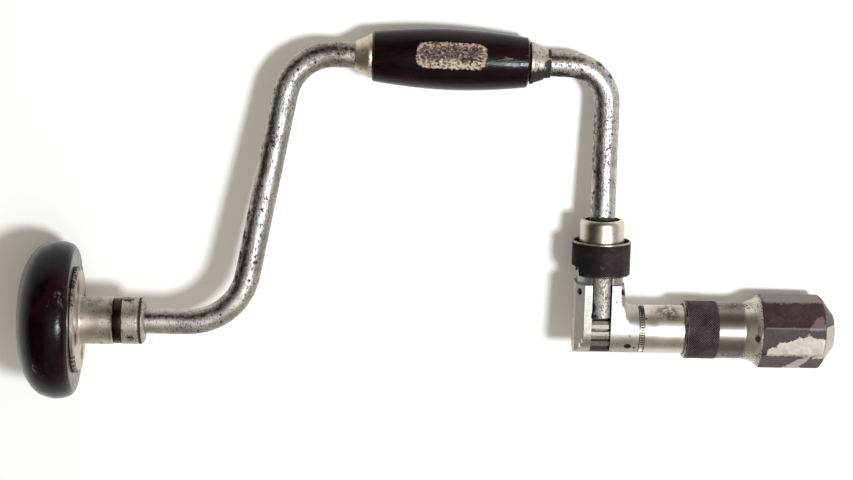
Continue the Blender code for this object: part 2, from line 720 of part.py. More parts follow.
def make_grip():
    """The wooden grip that turns on the rod, and the ferrules fixed at its ends."""
    half = GRIP_LENGTH / 2
    bore = ROD_RADIUS + RUNNING_GAP
    swell = GRIP_MIDDLE_RADIUS - GRIP_END_RADIUS
    side = []
    for step in range(GRIP_STATIONS + 1):
        place_share = 1 - 2 * step / GRIP_STATIONS
        height = place_share * (half - GRIP_EDGE)
        radius = GRIP_END_RADIUS + swell * math.cos(place_share * math.pi / 2) ** GRIP_SWELL_POWER
        side.append((radius, height))
    edge_radius = GRIP_END_RADIUS - GRIP_EDGE
    outline = [(edge_radius, half)] + side + [(edge_radius, -half), (bore, -half), (bore, half)]
    turned("grip_wood", outline, "black_wood", GRIP_TURN, FINE_SIDES)
    seat = ROD_RADIUS + GAP
    end = -half - GAP
    start = end - LEFT_FERRULE_LENGTH
    outline = [(LEFT_FERRULE_LARGE, end), (LEFT_FERRULE_LARGE, end - FERRULE_LIP),
               (LEFT_FERRULE_LARGE - FERRULE_LIP_HEIGHT, end - FERRULE_LIP),
               (LEFT_FERRULE_SMALL, start), (seat, start), (seat, end)]
    turned("grip_ferrule_left", outline, "warm_nickel", GRIP_AXIS)
    start = half + RIGHT_FERRULE_GAP
    top = start + RIGHT_FERRULE_LENGTH
    step_place = start + RIGHT_FERRULE_STEP_PLACE
    lip = start + FERRULE_LIP
    outline = [(RIGHT_FERRULE_SMALL, top), (RIGHT_FERRULE_SMALL + GAP, step_place),
               (RIGHT_FERRULE_STEP, step_place - GAP),
               (RIGHT_FERRULE_LARGE - FERRULE_LIP_HEIGHT, lip), (RIGHT_FERRULE_LARGE, lip),
               (RIGHT_FERRULE_LARGE, start), (seat, start), (seat, top)]
    turned("grip_ferrule_right", outline, "dark_steel", GRIP_AXIS)


def head_section(along):
    """One section of the head across the main axis, as (height, outward) points."""
    flat_top = HEAD_HEIGHT
    crown = HEAD_HEIGHT
    if along > HEAD_FLAT:
        share = max(0, (HEAD_FILLET_RUN - along) / (HEAD_FILLET_RUN - HEAD_FLAT))
        flat_top = HEAD_HEIGHT * (1 - (1 - share ** HEAD_FILLET_POWER) ** (1 / HEAD_FILLET_POWER))
    if along > HEAD_RIGHT_WALL:
        share = max(0, (NECK_FILLET_END - along) / (NECK_FILLET_END - HEAD_RIGHT_WALL))
        crown = HEAD_HALF_WIDTH + NECK_FILLET_HEIGHT * (1 - math.sqrt(1 - share ** 2))
    limit = HEAD_HALF_WIDTH
    if along < -HEAD_LEFT_FLAT:
        share = (-along - HEAD_LEFT_FLAT) / (HEAD_LEFT - HEAD_LEFT_FLAT)
        limit = HEAD_HALF_WIDTH + (HEAD_LEFT_HALF_WIDTH - HEAD_HALF_WIDTH) * share
    lower = [(-HEAD_HALF_WIDTH * math.sin(angle), HEAD_HALF_WIDTH * math.cos(angle))
             for angle in (math.pi * step / HEAD_LOWER_STEPS for step in range(HEAD_LOWER_STEPS))]
    upper = []
    for step in range(HEAD_UPPER_STEPS + 1):
        angle = math.pi * (1 - step / HEAD_UPPER_STEPS)
        height = flat_top + (crown - flat_top) * math.sin(angle)
        upper.append((height, limit * math.cos(angle)))
    loop = lower + [(0, -HEAD_HALF_WIDTH)] + upper
    return [(height, max(-limit, min(limit, out))) for height, out in loop]


def head_stations():
    """Where the head's sections lie along the main axis."""
    run = HEAD_LEFT - HEAD_LEFT_FLAT
    stations = [-HEAD_LEFT + run * share for share in CHAMFER_STATION_SHARES]
    stations += [-HEAD_LEFT_FLAT, HEAD_FLAT]
    run = HEAD_RIGHT_WALL - HEAD_FLAT
    stations += [HEAD_FLAT + run * share for share in WALL_STATION_SHARES]
    stations += [HEAD_RIGHT_WALL, HEAD_RIGHT_WALL + STEP_LENGTH]
    run = NECK_FILLET_END - HEAD_RIGHT_WALL
    stations += [HEAD_RIGHT_WALL + run * share for share in FILLET_STATION_SHARES]
    return stations + [NECK_FILLET_END, HEAD_NECK_END]


def make_ratchet_head():
    """The forged head: a loft from the chamfered block to the round neck, then its bores."""
    work = bmesh.new()
    rings = []
    for along in head_stations():
        rings.append([work.verts.new((along, height, out)) for height, out in head_section(along)])
    count = len(rings[0])
    for before, after in zip(rings, rings[1:]):
        for index in range(count):
            following = (index + 1) % count
            work.faces.new((before[index], before[following], after[following], after[index]))
    work.faces.new(reversed(rings[0]))
    work.faces.new(rings[-1])
    bmesh.ops.recalc_face_normals(work, faces=work.faces)
    mesh = bpy.data.meshes.new("ratchet_head")
    work.to_mesh(mesh)
    work.free()
    mesh.shade_smooth()
    mesh.set_sharp_from_angle(angle=CREASE_ANGLE)
    head = place("ratchet_head", mesh, "nickel", ROOT)
    neck_root = HEAD_HEIGHT - NECK_OVERLAP
    neck = turned("head_neck", [(0, UPPER_NECK_TOP), (UPPER_NECK_RADIUS, UPPER_NECK_TOP),
                                (UPPER_NECK_RADIUS, LOWER_NECK_TOP),
                                (LOWER_NECK_RADIUS, LOWER_NECK_TOP),
                                (LOWER_NECK_RADIUS, neck_root), (0, neck_root)], None, ARM)
    modify(head, neck, "UNION")
    tail_bore = TAIL_RADIUS + RUNNING_GAP
    plug_bore = PLUG_RADIUS + GAP
    plug_floor = -HEAD_LEFT + PLUG_THICKNESS + GAP
    bore_start = -GEAR_HALF_WIDTH - GEAR_END_CLEARANCE
    bores = turned("head_bores", [(0, HEAD_NECK_END + OVERRUN),
                                  (GEAR_BORE_RADIUS, HEAD_NECK_END + OVERRUN),
                                  (GEAR_BORE_RADIUS, bore_start), (tail_bore, bore_start),
                                  (tail_bore, plug_floor), (plug_bore, plug_floor),
                                  (plug_bore, -HEAD_LEFT - OVERRUN),
                                  (0, -HEAD_LEFT - OVERRUN)], None, MAIN)
    tenon_bore = turned("tenon_bore", bar_outline(TENON_RADIUS + GAP, UPPER_NECK_TOP + OVERRUN,
                                                  TENON_END - GAP), None, ARM)
    cut(head, bores, tenon_bore)
    half = SLOT_WIDTH / 2
    bottom = -HEAD_HALF_WIDTH - OVERRUN
    outside = HEAD_HALF_WIDTH + OVERRUN
    cut(head, box("front_slot", (-half, bottom, SLOT_FLOOR), (half, SLOT_TOP, outside), None, ROOT),
        box("back_slot", (-half, bottom, -outside), (half, SLOT_TOP, -SLOT_FLOOR), None, ROOT))
    for side, direction in (("left", -1), ("right", 1)):
        out = (direction * math.cos(HEAD_SCREW_ANGLE), 0, math.sin(HEAD_SCREW_ANGLE))
        axis = axis_frame(f"head_screw_axis_{side}", ROOT, out, ACROSS, (0, HEAD_SCREW_HEIGHT, 0))
        inner = TENON_RADIUS + GAP
        turned(f"head_screw_{side}", bar_outline(HEAD_SCREW_RADIUS, HEAD_SCREW_OUTER, inner),
               "dark_steel", axis, SMALL_SIDES)
        reach = HEAD_SCREW_OUTER + HEAD_SCREW_SINK + OVERRUN
        cut(head, turned(f"head_screw_hole_{side}",
                         bar_outline(HEAD_SCREW_RADIUS + GAP, reach, TENON_RADIUS),
                         None, axis, SMALL_SIDES))
    return head


def make_spindle_bush(head):
    """The bush in the head's neck, the screw that holds it and the plug at the other end."""
    axis = radial_frame("bearing_screw_axis", BEARING_SCREW_ANGLE,
                        HEAD_NECK_END - BEARING_SCREW_INSET)
    outer = GEAR_BORE_RADIUS - GAP
    inner = SPINDLE_JOURNAL_RADIUS + RUNNING_GAP
    screw_end = (outer + inner) / 2
    hole = turned("bearing_screw_hole",
                  bar_outline(BEARING_SCREW_RADIUS + GAP, HEAD_HALF_WIDTH + OVERRUN,
                              screw_end - GAP), None, axis, SMALL_SIDES)
    turned("bearing_screw", bar_outline(BEARING_SCREW_RADIUS, HEAD_HALF_WIDTH - BEARING_SCREW_SINK,
                                        screw_end), "dark_steel", axis, SMALL_SIDES)
    bush_start = GEAR_HALF_WIDTH + BUSH_CLEARANCE
    bush = turned("spindle_bush", tube_outline(outer, inner, HEAD_NECK_END, bush_start), "steel",
                  MAIN)
    cut(head, hole)
    cut(bush, hole)
    turned("end_plug", bar_outline(PLUG_RADIUS, -HEAD_LEFT + PLUG_THICKNESS, -HEAD_LEFT), "steel",
           MAIN)


def make_cap_nut():
    """The nut on the head's neck, open at the top round the rod."""
    bore = UPPER_NECK_RADIUS + GAP
    outline = [(CAP_RADIUS - CAP_CHAMFER_WIDTH, CAP_TOP),
               (CAP_RADIUS, CAP_TOP - CAP_CHAMFER_HEIGHT), (CAP_RADIUS, CAP_BOTTOM),
               (bore, CAP_BOTTOM), (bore, SHOULDER_HEIGHT), (CAP_OPENING, SHOULDER_HEIGHT),
               (CAP_OPENING, CAP_TOP)]
    turned("cap_nut", outline, "nickel", ARM)


def make_direction_ring():
    """The knurled ring that turns on the neck's shoulder, notched at its lower rim."""
    inner = RING_RADIUS - RING_WALL
    flange_bore = UPPER_NECK_RADIUS + RUNNING_GAP
    outline = [(RING_RADIUS, RING_TOP), (RING_RADIUS, RING_BOTTOM), (inner, RING_BOTTOM),
               (inner, FLANGE_BOTTOM), (flange_bore, FLANGE_BOTTOM), (flange_bore, FLANGE_TOP),
               (inner, FLANGE_TOP), (inner, RING_TOP)]
    ring = turned("direction_ring", outline, "black_knurl", RING_TURN, FINE_SIDES)
    notch = box("ring_notch", (-RING_RADIUS - OVERRUN, RING_BOTTOM - OVERRUN,
                               -RING_RADIUS - OVERRUN),
                (-RING_NOTCH_CHORD, RING_BOTTOM + RING_NOTCH_HEIGHT, RING_RADIUS + OVERRUN),
                None, ROOT)
    cut(ring, notch)


def make_pawl(side, outward):
    """A half round bar in one of the head's slots, its tip clear of the gear, and its spring."""
    lift = axis_frame(f"pawl_{side}_lift", ARM, OUT, (outward, 0, 0), HERE)
    half = PAWL_WIDTH / 2
    floor = SLOT_FLOOR + GAP
    rise = PAWL_CROWN - PAWL_SHOULDER
    seat_height = PAWL_TOP - PAWL_SEAT_DEPTH
    crown = [(PAWL_SHOULDER + rise * math.sin(angle), half * math.cos(angle))
             for angle in (math.pi * step / ARC_STEPS for step in range(ARC_STEPS + 1))]
    loop = [(floor, half)] + crown + [(floor, -half)]
    pawl = flat_outline(f"pawl_{side}", [loop], PAWL_TIP, PAWL_TOP, "steel", lift)
    spring_place = floor + SPRING_RADIUS + SPRING_WIRE
    seat_wall = spring_place + SPRING_RADIUS + SPRING_WIRE + GAP
    seat = box(f"pawl_{side}_seat", (floor - OVERRUN, -half - OVERRUN, seat_height),
               (seat_wall, half + OVERRUN, PAWL_TOP + OVERRUN), None, lift)
    across = axis_frame(f"pawl_{side}_tip_axis", lift, ACROSS, ALONG, HERE)
    tip_room = turned(f"pawl_{side}_tip_room",
                      bar_outline(GEAR_RADIUS + RUNNING_GAP, half + OVERRUN, -half - OVERRUN),
                      None, across, FINE_SIDES)
    cut(pawl, seat, tip_room)
    spring_axis = axis_frame(f"pawl_{side}_spring_axis", ARM, OUT, ALONG,
                             (outward * spring_place, 0, 0))
    make_spring(f"pawl_spring_{side}", SPRING_RADIUS, seat_height + GAP, SLOT_TOP - GAP,
                SPRING_TURNS, spring_axis)


def make_spring(name, radius, low, high, turns, parent):
    """A coil spring along its parent's Z."""
    wire(name, coil(radius, SPRING_WIRE, low, high, turns), SPRING_WIRE, 1, "steel", parent)


def make_ratchet_gear():
    """The gear with flat topped teeth and narrow gaps, on its seat of the spindle."""
    pitch = 2 * math.pi / GEAR_TEETH
    loop = []
    root_share = GEAR_GAP_SHARE * GEAR_ROOT_SHARE
    top_share = GEAR_GAP_SHARE * GEAR_TOP_SHARE
    corners = ((GEAR_ROOT, -root_share), (GEAR_ROOT, root_share), (GEAR_RADIUS, top_share),
               (GEAR_RADIUS, 1 / 2), (GEAR_RADIUS, 1 - top_share))
    for tooth in range(GEAR_TEETH):
        start = GEAR_PHASE + tooth * pitch
        for radius, share in corners:
            angle = start + pitch * share
            loop.append((radius * math.sin(angle), radius * math.cos(angle)))
    bore = GEAR_SEAT_RADIUS + GAP
    hole = [(bore * math.cos(angle), bore * math.sin(angle))
            for angle in (2 * math.pi * side / SIDES for side in range(SIDES))]
    flat_outline("ratchet_gear", [loop, hole], -GEAR_HALF_WIDTH, GEAR_HALF_WIDTH, "dark_steel",
                 SPINDLE_TURN)


def make_spindle():
    """The spindle: tail, gear seat, journal, barrel and slotted stem, with its neck ring."""
    seat_start = -GEAR_HALF_WIDTH
    journal_start = GEAR_HALF_WIDTH + GAP
    tail_end = -HEAD_LEFT + PLUG_THICKNESS + GAP
    outline = [(0, STEM_END), (STEM_RADIUS - EDGE_BREAK, STEM_END),
               (STEM_RADIUS, STEM_END - EDGE_BREAK), (STEM_RADIUS, BARREL_END),
               (BARREL_RADIUS, BARREL_END), (BARREL_RADIUS, BARREL_START),
               (SPINDLE_JOURNAL_RADIUS, BARREL_START), (SPINDLE_JOURNAL_RADIUS, journal_start),
               (GEAR_SEAT_RADIUS, journal_start), (GEAR_SEAT_RADIUS, seat_start),
               (TAIL_RADIUS, seat_start), (TAIL_RADIUS, tail_end), (0, tail_end)]
    spindle = turned("spindle", outline, "nickel", SPINDLE_TURN)
    half = JAW_SLOT_WIDTH / 2
    reach = STEM_RADIUS + OVERRUN
    cut(spindle, box("jaw_slot", (-reach, -half, JAW_SLOT_START), (reach, half, STEM_END + OVERRUN),
                     None, SPINDLE_TURN))
    turned("neck_ring", tube_outline(BARREL_RADIUS, SPINDLE_JOURNAL_RADIUS + GAP,
                                     BARREL_START - GAP, NECK_RING_START, EDGE_BREAK),
           "nickel", SPINDLE_TURN)


def taper_radius(along):
    """The closing ring's inner radius at a place along the axis, at rest."""
    return NOSE_BORE + (CLOSING_RING_FRONT - along) * math.tan(JAW_TAPER)


def make_chuck_shell():
    """The shell: a turned blank whose front is cut to an octagon, hollow for the jaws."""
    rear_bore = BARREL_RADIUS + RUNNING_GAP
    rear_bore_end = BARREL_END + SHELL_TRAVEL + GAP
    thread_bore = STEM_RADIUS + GAP
    corner = OCTAGON_CORNER - EDGE_BREAK
    front_mouth = CLOSING_RING_FRONT + GAP
    outline = [(NOSE_TIP_RADIUS, NOSE_TIP), (NOSE_RIM_RADIUS, NOSE_TIP - NOSE_RIM_DEPTH),
               (corner, OCTAGON_END), (corner, FLARE_END),
               (FLARE_STEP_RADIUS, FLARE_START + FLARE_STEP_PLACE), (BAND_RADIUS, FLARE_START),
               (BAND_RADIUS, KNURL_END),
               (KNURL_RADIUS, KNURL_END - EDGE_BREAK), (KNURL_RADIUS, SHELL_REAR + EDGE_BREAK),
               (KNURL_RADIUS - EDGE_BREAK, SHELL_REAR), (rear_bore, SHELL_REAR),
               (rear_bore, rear_bore_end), (thread_bore, rear_bore_end),
               (thread_bore, THREAD_BORE_END), (CAVITY_RADIUS, CAVITY_START),
               (CAVITY_RADIUS, CAVITY_END), (CLOSING_RING_FRONT_RADIUS + GAP, front_mouth),
               (NOSE_BORE, front_mouth), (NOSE_BORE, NOSE_TIP)]
    shell = turned("chuck_shell", outline, "black_paint", SHELL_TURN, FINE_SIDES)
    down = down_direction()
    phase = math.atan2(down.z, down.y) + math.pi / OCTAGON_SIDES
    octagon = prism("octagon", OCTAGON_SIDES, OCTAGON_CORNER, SHELL_REAR - OVERRUN,
                    NOSE_TIP + OVERRUN, None, SHELL_TURN, phase)
    modify(shell, octagon, "INTERSECT")
    ring_bore = taper_radius(CLOSING_RING_REAR)
    cone_start = CAVITY_END - GAP
    turned("closing_ring", [(NOSE_BORE, CLOSING_RING_FRONT),
                            (CLOSING_RING_FRONT_RADIUS, CLOSING_RING_FRONT),
                            (CAVITY_RADIUS - GAP, cone_start),
                            (CAVITY_RADIUS - GAP, CLOSING_RING_REAR),
                            (ring_bore, CLOSING_RING_REAR)],
           "steel", CLOSING_RING_SLIDE)


def make_jaw(side, direction):
    """A jaw with a tapered back and a V groove, opened by half of the shell's travel."""
    rest_opening = SHELL_TRAVEL * math.tan(JAW_TAPER)
    slide = axis_frame(f"jaw_{side}_slide", SPINDLE_TURN, OUT, (direction, 0, 0),
                       (direction * rest_opening, 0, 0))
    back_gap = GAP / math.cos(JAW_TAPER) + rest_opening
    heel_radius = taper_radius(JAW_HEEL) - back_gap
    tip_radius = taper_radius(JAW_TIP) - back_gap
    rear = JAW_SLOT_START + GAP
    jaw = turned(f"jaw_{side}", [(0, JAW_TIP), (tip_radius - GAP, JAW_TIP),
                                 (tip_radius, JAW_TIP - GAP), (heel_radius, JAW_HEEL),
                                 (JAW_SHANK_RADIUS, JAW_HEEL_START), (JAW_SHANK_RADIUS, rear),
                                 (0, rear)], "steel", slide)
    half = JAW_WIDTH / 2
    blank = box(f"jaw_{side}_blank", (JAW_MEETING_GAP, -half, rear - OVERRUN),
                (heel_radius + OVERRUN, half, JAW_TIP + OVERRUN), None, slide)
    modify(jaw, blank, "INTERSECT")
    groove = prism(f"jaw_{side}_groove", JAW_GROOVE_SIDES, JAW_GROOVE, JAW_GROOVE_START,
                   JAW_TIP + OVERRUN, None, slide)
    socket_radius = JAW_SPRING_RADIUS + SPRING_WIRE + JAW_SPRING_CLEARANCE
    socket_axis = axis_frame(f"jaw_{side}_socket_axis", slide, ALONG, OUT,
                             (0, 0, JAW_SPRING_PLACE))
    socket_floor = JAW_MEETING_GAP + JAW_SPRING_SOCKET_DEPTH
    socket = turned(f"jaw_{side}_socket",
                    bar_outline(socket_radius, socket_floor, -OVERRUN), None, socket_axis,
                    SMALL_SIDES)
    cut(jaw, groove, socket)
    return rest_opening + socket_floor - GAP


def make_jaws():
    """Both jaws, and the spring between them that opens them."""
    reach = make_jaw("upper", 1)
    make_jaw("lower", -1)
    axis = axis_frame("jaw_spring_axis", SPINDLE_TURN, ALONG, OUT, (0, 0, JAW_SPRING_PLACE))
    make_spring("jaw_spring", JAW_SPRING_RADIUS, -reach, reach, JAW_SPRING_TURNS, axis)


def settle_on_floor():
    """Move the whole brace so that the middle of its box's base is the origin."""
    bpy.context.view_layer.update()
    depsgraph = bpy.context.evaluated_depsgraph_get()
    corners = []
    for piece in PARTS.objects:
        if piece.type == "MESH":
            mesh = piece.evaluated_get(depsgraph).to_mesh()
            corners += [piece.matrix_world @ vertex.co for vertex in mesh.vertices]
    low = Vector([min(corner[axis] for corner in corners) for axis in range(3)])
    high = Vector([max(corner[axis] for corner in corners) for axis in range(3)])
    middle = (low + high) / 2
    ROOT.matrix_basis = Matrix.Translation((-middle.x, -middle.y, -low.z)) @ ROOT.matrix_basis
    bpy.context.view_layer.update()


def build():
    """Make every piece, then lay the brace down."""
    make_crank_rod(make_pad_collar())
    make_pad_end()
    make_pad()
    make_grip()
    make_spindle_bush(make_ratchet_head())
    make_cap_nut()
    make_direction_ring()
    make_pawl("front", 1)
    make_pawl("back", -1)
    make_ratchet_gear()
    make_spindle()
    make_chuck_shell()
    make_jaws()
    settle_on_floor()


build()
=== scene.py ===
"""The looks of a worn ratchet bit brace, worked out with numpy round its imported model.

Every new piece is a grid of points: a profile carried round an axis or along a path.
Lengths are in metres.
"""
import json
import math
from functools import cached_property

import bmesh
import bpy
import numpy as np
from mathutils import Matrix, Vector


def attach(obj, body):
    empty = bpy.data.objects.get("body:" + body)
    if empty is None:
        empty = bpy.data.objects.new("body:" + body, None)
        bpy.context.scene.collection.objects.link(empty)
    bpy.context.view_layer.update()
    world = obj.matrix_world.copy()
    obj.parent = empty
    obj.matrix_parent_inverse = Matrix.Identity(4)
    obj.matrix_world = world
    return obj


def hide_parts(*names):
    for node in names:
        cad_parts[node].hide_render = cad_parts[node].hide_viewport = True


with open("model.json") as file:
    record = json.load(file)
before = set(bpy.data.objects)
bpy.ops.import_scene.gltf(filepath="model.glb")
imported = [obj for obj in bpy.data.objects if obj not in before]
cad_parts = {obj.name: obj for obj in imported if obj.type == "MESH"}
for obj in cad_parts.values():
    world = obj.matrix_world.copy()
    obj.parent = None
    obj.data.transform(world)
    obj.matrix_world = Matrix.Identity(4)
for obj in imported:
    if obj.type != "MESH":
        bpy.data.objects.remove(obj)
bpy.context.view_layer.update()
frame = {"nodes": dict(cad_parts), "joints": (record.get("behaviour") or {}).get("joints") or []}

# The brace's own axes: u along the main axis to the chuck, v up the arm to the grip, w out
JOINTS = {joint["name"]: joint for joint in frame["joints"]}
HEART = np.array(JOINTS["spindle_turn"]["pos_m"], float)
U = np.array(JOINTS["spindle_turn"]["axis"], float)
V = np.array(JOINTS["ring_turn"]["axis"], float)
U /= np.linalg.norm(U)
V -= U * (U @ V)
V /= np.linalg.norm(V)
W = np.cross(U, V)
GRIP_HEART = np.array(JOINTS["grip_turn"]["pos_m"], float)
GRIP_ALONG = np.array(JOINTS["grip_turn"]["axis"], float)
GRIP_ALONG /= np.linalg.norm(GRIP_ALONG)

# Clearances: between fixed pieces, in a bearing, and the least step that counts
GAP = 0.0003
BEARING_GAP = 0.00034
TINY = 0.00002

# Crank rod
ROD_RADIUS = 0.0059
SWEEP_RADIUS = 0.1250
GRIP_DROP = 0.0033
GRIP_CENTRE = 0.0729
LEG_FOOT = 0.1692
LEG_TOP = 0.1446
FOOT_BEND = 0.028
LEG_TOP_BEND = 0.023
ARM_TOP_BEND = 0.018
JOURNAL_RADIUS = 0.0045
JOURNAL_END = -0.2508
TENON_RADIUS = 0.0045
TENON_END = 0.0121

# Pad, in places along the main axis: the wood's face is where its steel plate sits
PAD_RADIUS = 0.0368
PAD_DEPTH = 0.0259
PAD_FACE = -0.2447
PAD_OUTLINE_SHARES = np.array((
    (0.0, 0.907), (0.012, 0.921), (0.06, 0.958), (0.15, 0.985), (0.255, 0.998), (0.36, 1.0),
    (0.47, 0.983), (0.583, 0.953), (0.68, 0.905), (0.765, 0.838), (0.84, 0.755), (0.9, 0.659),
    (0.945, 0.545), (0.972, 0.42), (0.992, 0.24), (1.0, 0.0)))
PAD_CAVITY_RADIUS = 0.0095
PAD_CAVITY_FLOOR = -0.2539
PLATE_THICKNESS = 0.0018
SLEEVE_LENGTH = 0.0158
SLEEVE_END = PAD_FACE + GAP + PLATE_THICKNESS + SLEEVE_LENGTH
THRUST_RADIUS = 0.0106
THRUST_START = SLEEVE_END + GAP
THRUST_END = THRUST_START + 0.0035
COLLAR_RADIUS = 0.0109
COLLAR_CROWN = 0.0026
COLLAR_GROOVE = -0.2142
COLLAR_START = THRUST_END + GAP
COLLAR_END = COLLAR_START + 0.0106

# Grip and ferrules, from the grip's middle
GRIP_LENGTH = 0.0714
GRIP_END_RADIUS = 0.0114
GRIP_MIDDLE_RADIUS = 0.0141
GRIP_EDGE = 0.0006
FERRULE_TIP_RADIUS = 0.0066
LEFT_FERRULE_LENGTH = 0.0076
RIGHT_FERRULE_START = 0.00105
RIGHT_FERRULE_LENGTH = 0.0094

# Pasted label on the grip: the way it faces, and its middle up from the main axis
LABEL_TOWARDS = (0.0, 0.31, 0.951)
LABEL_HALF_LENGTH = 0.0158
LABEL_HALF_WIDTH = 0.0061
LABEL_CORNER = 0.0040
LABEL_MIDDLE = 0.1262

# Knurls of the direction ring and the chuck
KNURL_PITCH = 0.00120
KNURL_DEPTH = 0.00032
KNURL_ROWS = 104
COLUMNS_PER_DIAMOND = 8
RING_DIAMONDS = 72
CHUCK_DIAMONDS = 71

# Head, cap nut and direction ring
UPPER_NECK_TOP = 0.0455
CAP_TOP = 0.0520
CAP_BOTTOM = 0.0368
CAP_RADIUS = 0.0105
CAP_THREAD_RADIUS = 0.0094
CAP_BORE = 0.0082
RING_RADIUS = 0.0137
RING_BORE = 0.00925
RING_WALL = 0.0010
RING_FLANGE = 0.0024
RING_BOTTOM = 0.0262
RING_TOP = 0.0420
RING_NOTCH = 0.0043
NOTCH_EDGE = -0.0109

# Notched ring on the spindle, between head and barrel
NECK_RING_LOW = 0.0183
NECK_RING_HIGH = 0.0204
NECK_RING_BORE = 0.0076
NECK_TEETH = 58
NOTCH_DEPTH = 0.00024

# Spindle and chuck
BARREL_RADIUS = 0.01135
SHELL_REAR = 0.0396
KNURL_END = 0.0551
FLARE_START = 0.0677
FLARE_END = 0.0766
OCTAGON_END = 0.1030
NOSE_TIP = 0.1102
KNURL_RADIUS = 0.0136
BAND_RADIUS = 0.01335
OCTAGON_CORNER = 0.0176
OCTAGON_SIDES = 8
MOUTH_RADIUS = 0.0074
CONE_SMALL_RADIUS = 0.0103
CONE_FRONT = 0.1053
CONE_REAR = 0.0996
CHAMBER_RADIUS = 0.0125
CHAMBER_REAR = 0.0730
THREAD_RADIUS = 0.0093
THREAD_FRONT = 0.0710
THREAD_REAR = 0.0523

# Floor, lamp and camera, with how much white the floor adds for the eye
FLOOR_HALF_SIZE = 6.0
FLOOR_COLOUR = (0.935, 0.918, 0.875)
FLOOR_GLOW = 0.15
GLOW_COLOUR = (1.0, 0.98, 0.95)
LAMP_DIRECTION = (0.42, 0.05, 0.90)
LAMP_DISTANCE = 1.55
LAMP_SIZE = 0.25
LAMP_POWER = 21.0
LAMP_COLOUR = (0.90, 0.95, 1.0)
LAMP_TARGET = (0, 0, 0.02)
CAMERA_PLACE = (0.0173, 0.2562, 0.9695)
CAMERA_TURN = (-0.27399, 0.02776, 0.02629)
CAMERA_LENS = 89.1
CAMERA_SENSOR = 36.0


class Line:
    """An axis with its two sides: origin, direction, and where angle zero and ninety point."""

    def __init__(self, origin, along, side):
        self.origin = np.array(origin, float)
        self.along = np.array(along, float) / np.linalg.norm(along)
        side = np.array(side, float)
        side = side - self.along * (side @ self.along)
        self.side = side / np.linalg.norm(side)
        self.across = np.cross(self.along, self.side)

    def points(self, radius, angle, height):
        """Origin plus height along the axis plus radius turned by the angle."""
        radius, angle, height = np.broadcast_arrays(radius, angle, height)
        return (self.origin + height[..., None] * self.along
                + (radius * np.cos(angle))[..., None] * self.side
                + (radius * np.sin(angle))[..., None] * self.across)


MAIN = Line(HEART, U, V)
ARM = Line(HEART, V, W)
GRIP = Line(GRIP_HEART, GRIP_ALONG, W)


def grid_faces(rows, columns, wrap_rows, wrap_columns):
    """Quads between neighbouring rows and columns of a grid of points."""
    down = np.arange(rows if wrap_rows else rows - 1)[:, None]
    across = np.arange(columns if wrap_columns else columns - 1)[None, :]
    next_down = (down + 1) % rows
    next_across = (across + 1) % columns
    corners = (down * columns + across, down * columns + next_across,
               next_down * columns + next_across, next_down * columns + across)
    return np.stack([corner.ravel() for corner in corners], axis=1)


def add_piece(name, sheet, body, material, stands_for=(), fields=None, sharp=32):
    """One closed piece from a (points, rows wrap, columns wrap) sheet and its points' fields.

    Its poles are merged, its faces point outwards and its sharp edges are creased.
    """
    points, wrap_rows, wrap_columns = sheet
    faces = grid_faces(*points.shape[:2], wrap_rows, wrap_columns)
    mesh = bpy.data.meshes.new(name)
    mesh.from_pydata(points.reshape(-1, 3), [], faces.tolist())
    for field, values in (fields or {}).items():
        mesh.attributes.new(field, "FLOAT", "POINT").data.foreach_set("value", values.ravel())
    work = bmesh.new()
    work.from_mesh(mesh)
    bmesh.ops.remove_doubles(work, verts=work.verts, dist=1e-7)
    bmesh.ops.dissolve_degenerate(work, dist=1e-8, edges=work.edges)
    if work.calc_volume(signed=True) < 0:
        bmesh.ops.reverse_faces(work, faces=work.faces)
    work.to_mesh(mesh)
    work.free()
    mesh.shade_smooth()
    mesh.set_sharp_from_angle(angle=math.radians(sharp))
    return finished(name, mesh, body, material, stands_for)


def finished(name, mesh, body, material, stands_for=()):
    """The object of a mesh, with its material, its body and the CAD nodes it stands for."""
    mesh.materials.clear()
    mesh.materials.append(material)
    piece = bpy.data.objects.new(name, mesh)
    bpy.context.scene.collection.objects.link(piece)
    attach(piece, body)
    if stands_for:
        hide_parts(*stands_for)
    return piece


def softened(profile, radius, steps=4):
    """The profile with each corner replaced by a small arc tangent to both its runs."""
    profile = [np.array(point, float) for point in profile]
    result = [profile[0]]
    for before, corner, after in zip(profile, profile[1:], profile[2:]):
        one, two = before - corner, after - corner
        long_one, long_two = np.linalg.norm(one), np.linalg.norm(two)
        one, two = one / long_one, two / long_two
        half = math.acos(np.clip(one @ two, -1, 1)) / 2
        reach = min(radius / max(math.tan(half), 1e-6), 0.45 * long_one, 0.45 * long_two)
        if half > math.radians(88) or reach < 1e-6:
            result.append(corner)
            continue
        start, end = corner + one * reach, corner + two * reach
        share = np.linspace(0, 1, steps + 1)[:, None]
        result.extend((1 - share) ** 2 * start + 2 * share * (1 - share) * corner
                      + share ** 2 * end)
    result.append(profile[-1])
    return np.array(result)


def dense(profile, step):
    """The profile with its long runs divided into equal steps."""
    profile = np.asarray(profile, float)
    pieces = []
    for start, end in zip(profile, profile[1:]):
        count = max(1, int(np.ceil(np.linalg.norm(end - start) / step)))
        share = np.arange(count)[:, None] / count
        pieces.append(start + (end - start) * share)
    return np.concatenate(pieces + [profile[-1:]])


def smooth_curve(points, count):
    """Points along a Catmull-Rom curve through the given ones, evenly in their numbering."""
    points = np.asarray(points, float)
    padded = np.concatenate([2 * points[:1] - points[1:2], points,
                             2 * points[-1:] - points[-2:-1]])
    place = np.linspace(0, len(points) - 1 - 1e-9, count)
    first = place.astype(int)
    t = (place - first)[:, None]
    a, b, c, d = (padded[first + shift] for shift in range(4))
    return 0.5 * (2 * b + (c - a) * t + (2 * a - 5 * b + 4 * c - d) * t ** 2
                  + (3 * b - a - 3 * c + d) * t ** 3)


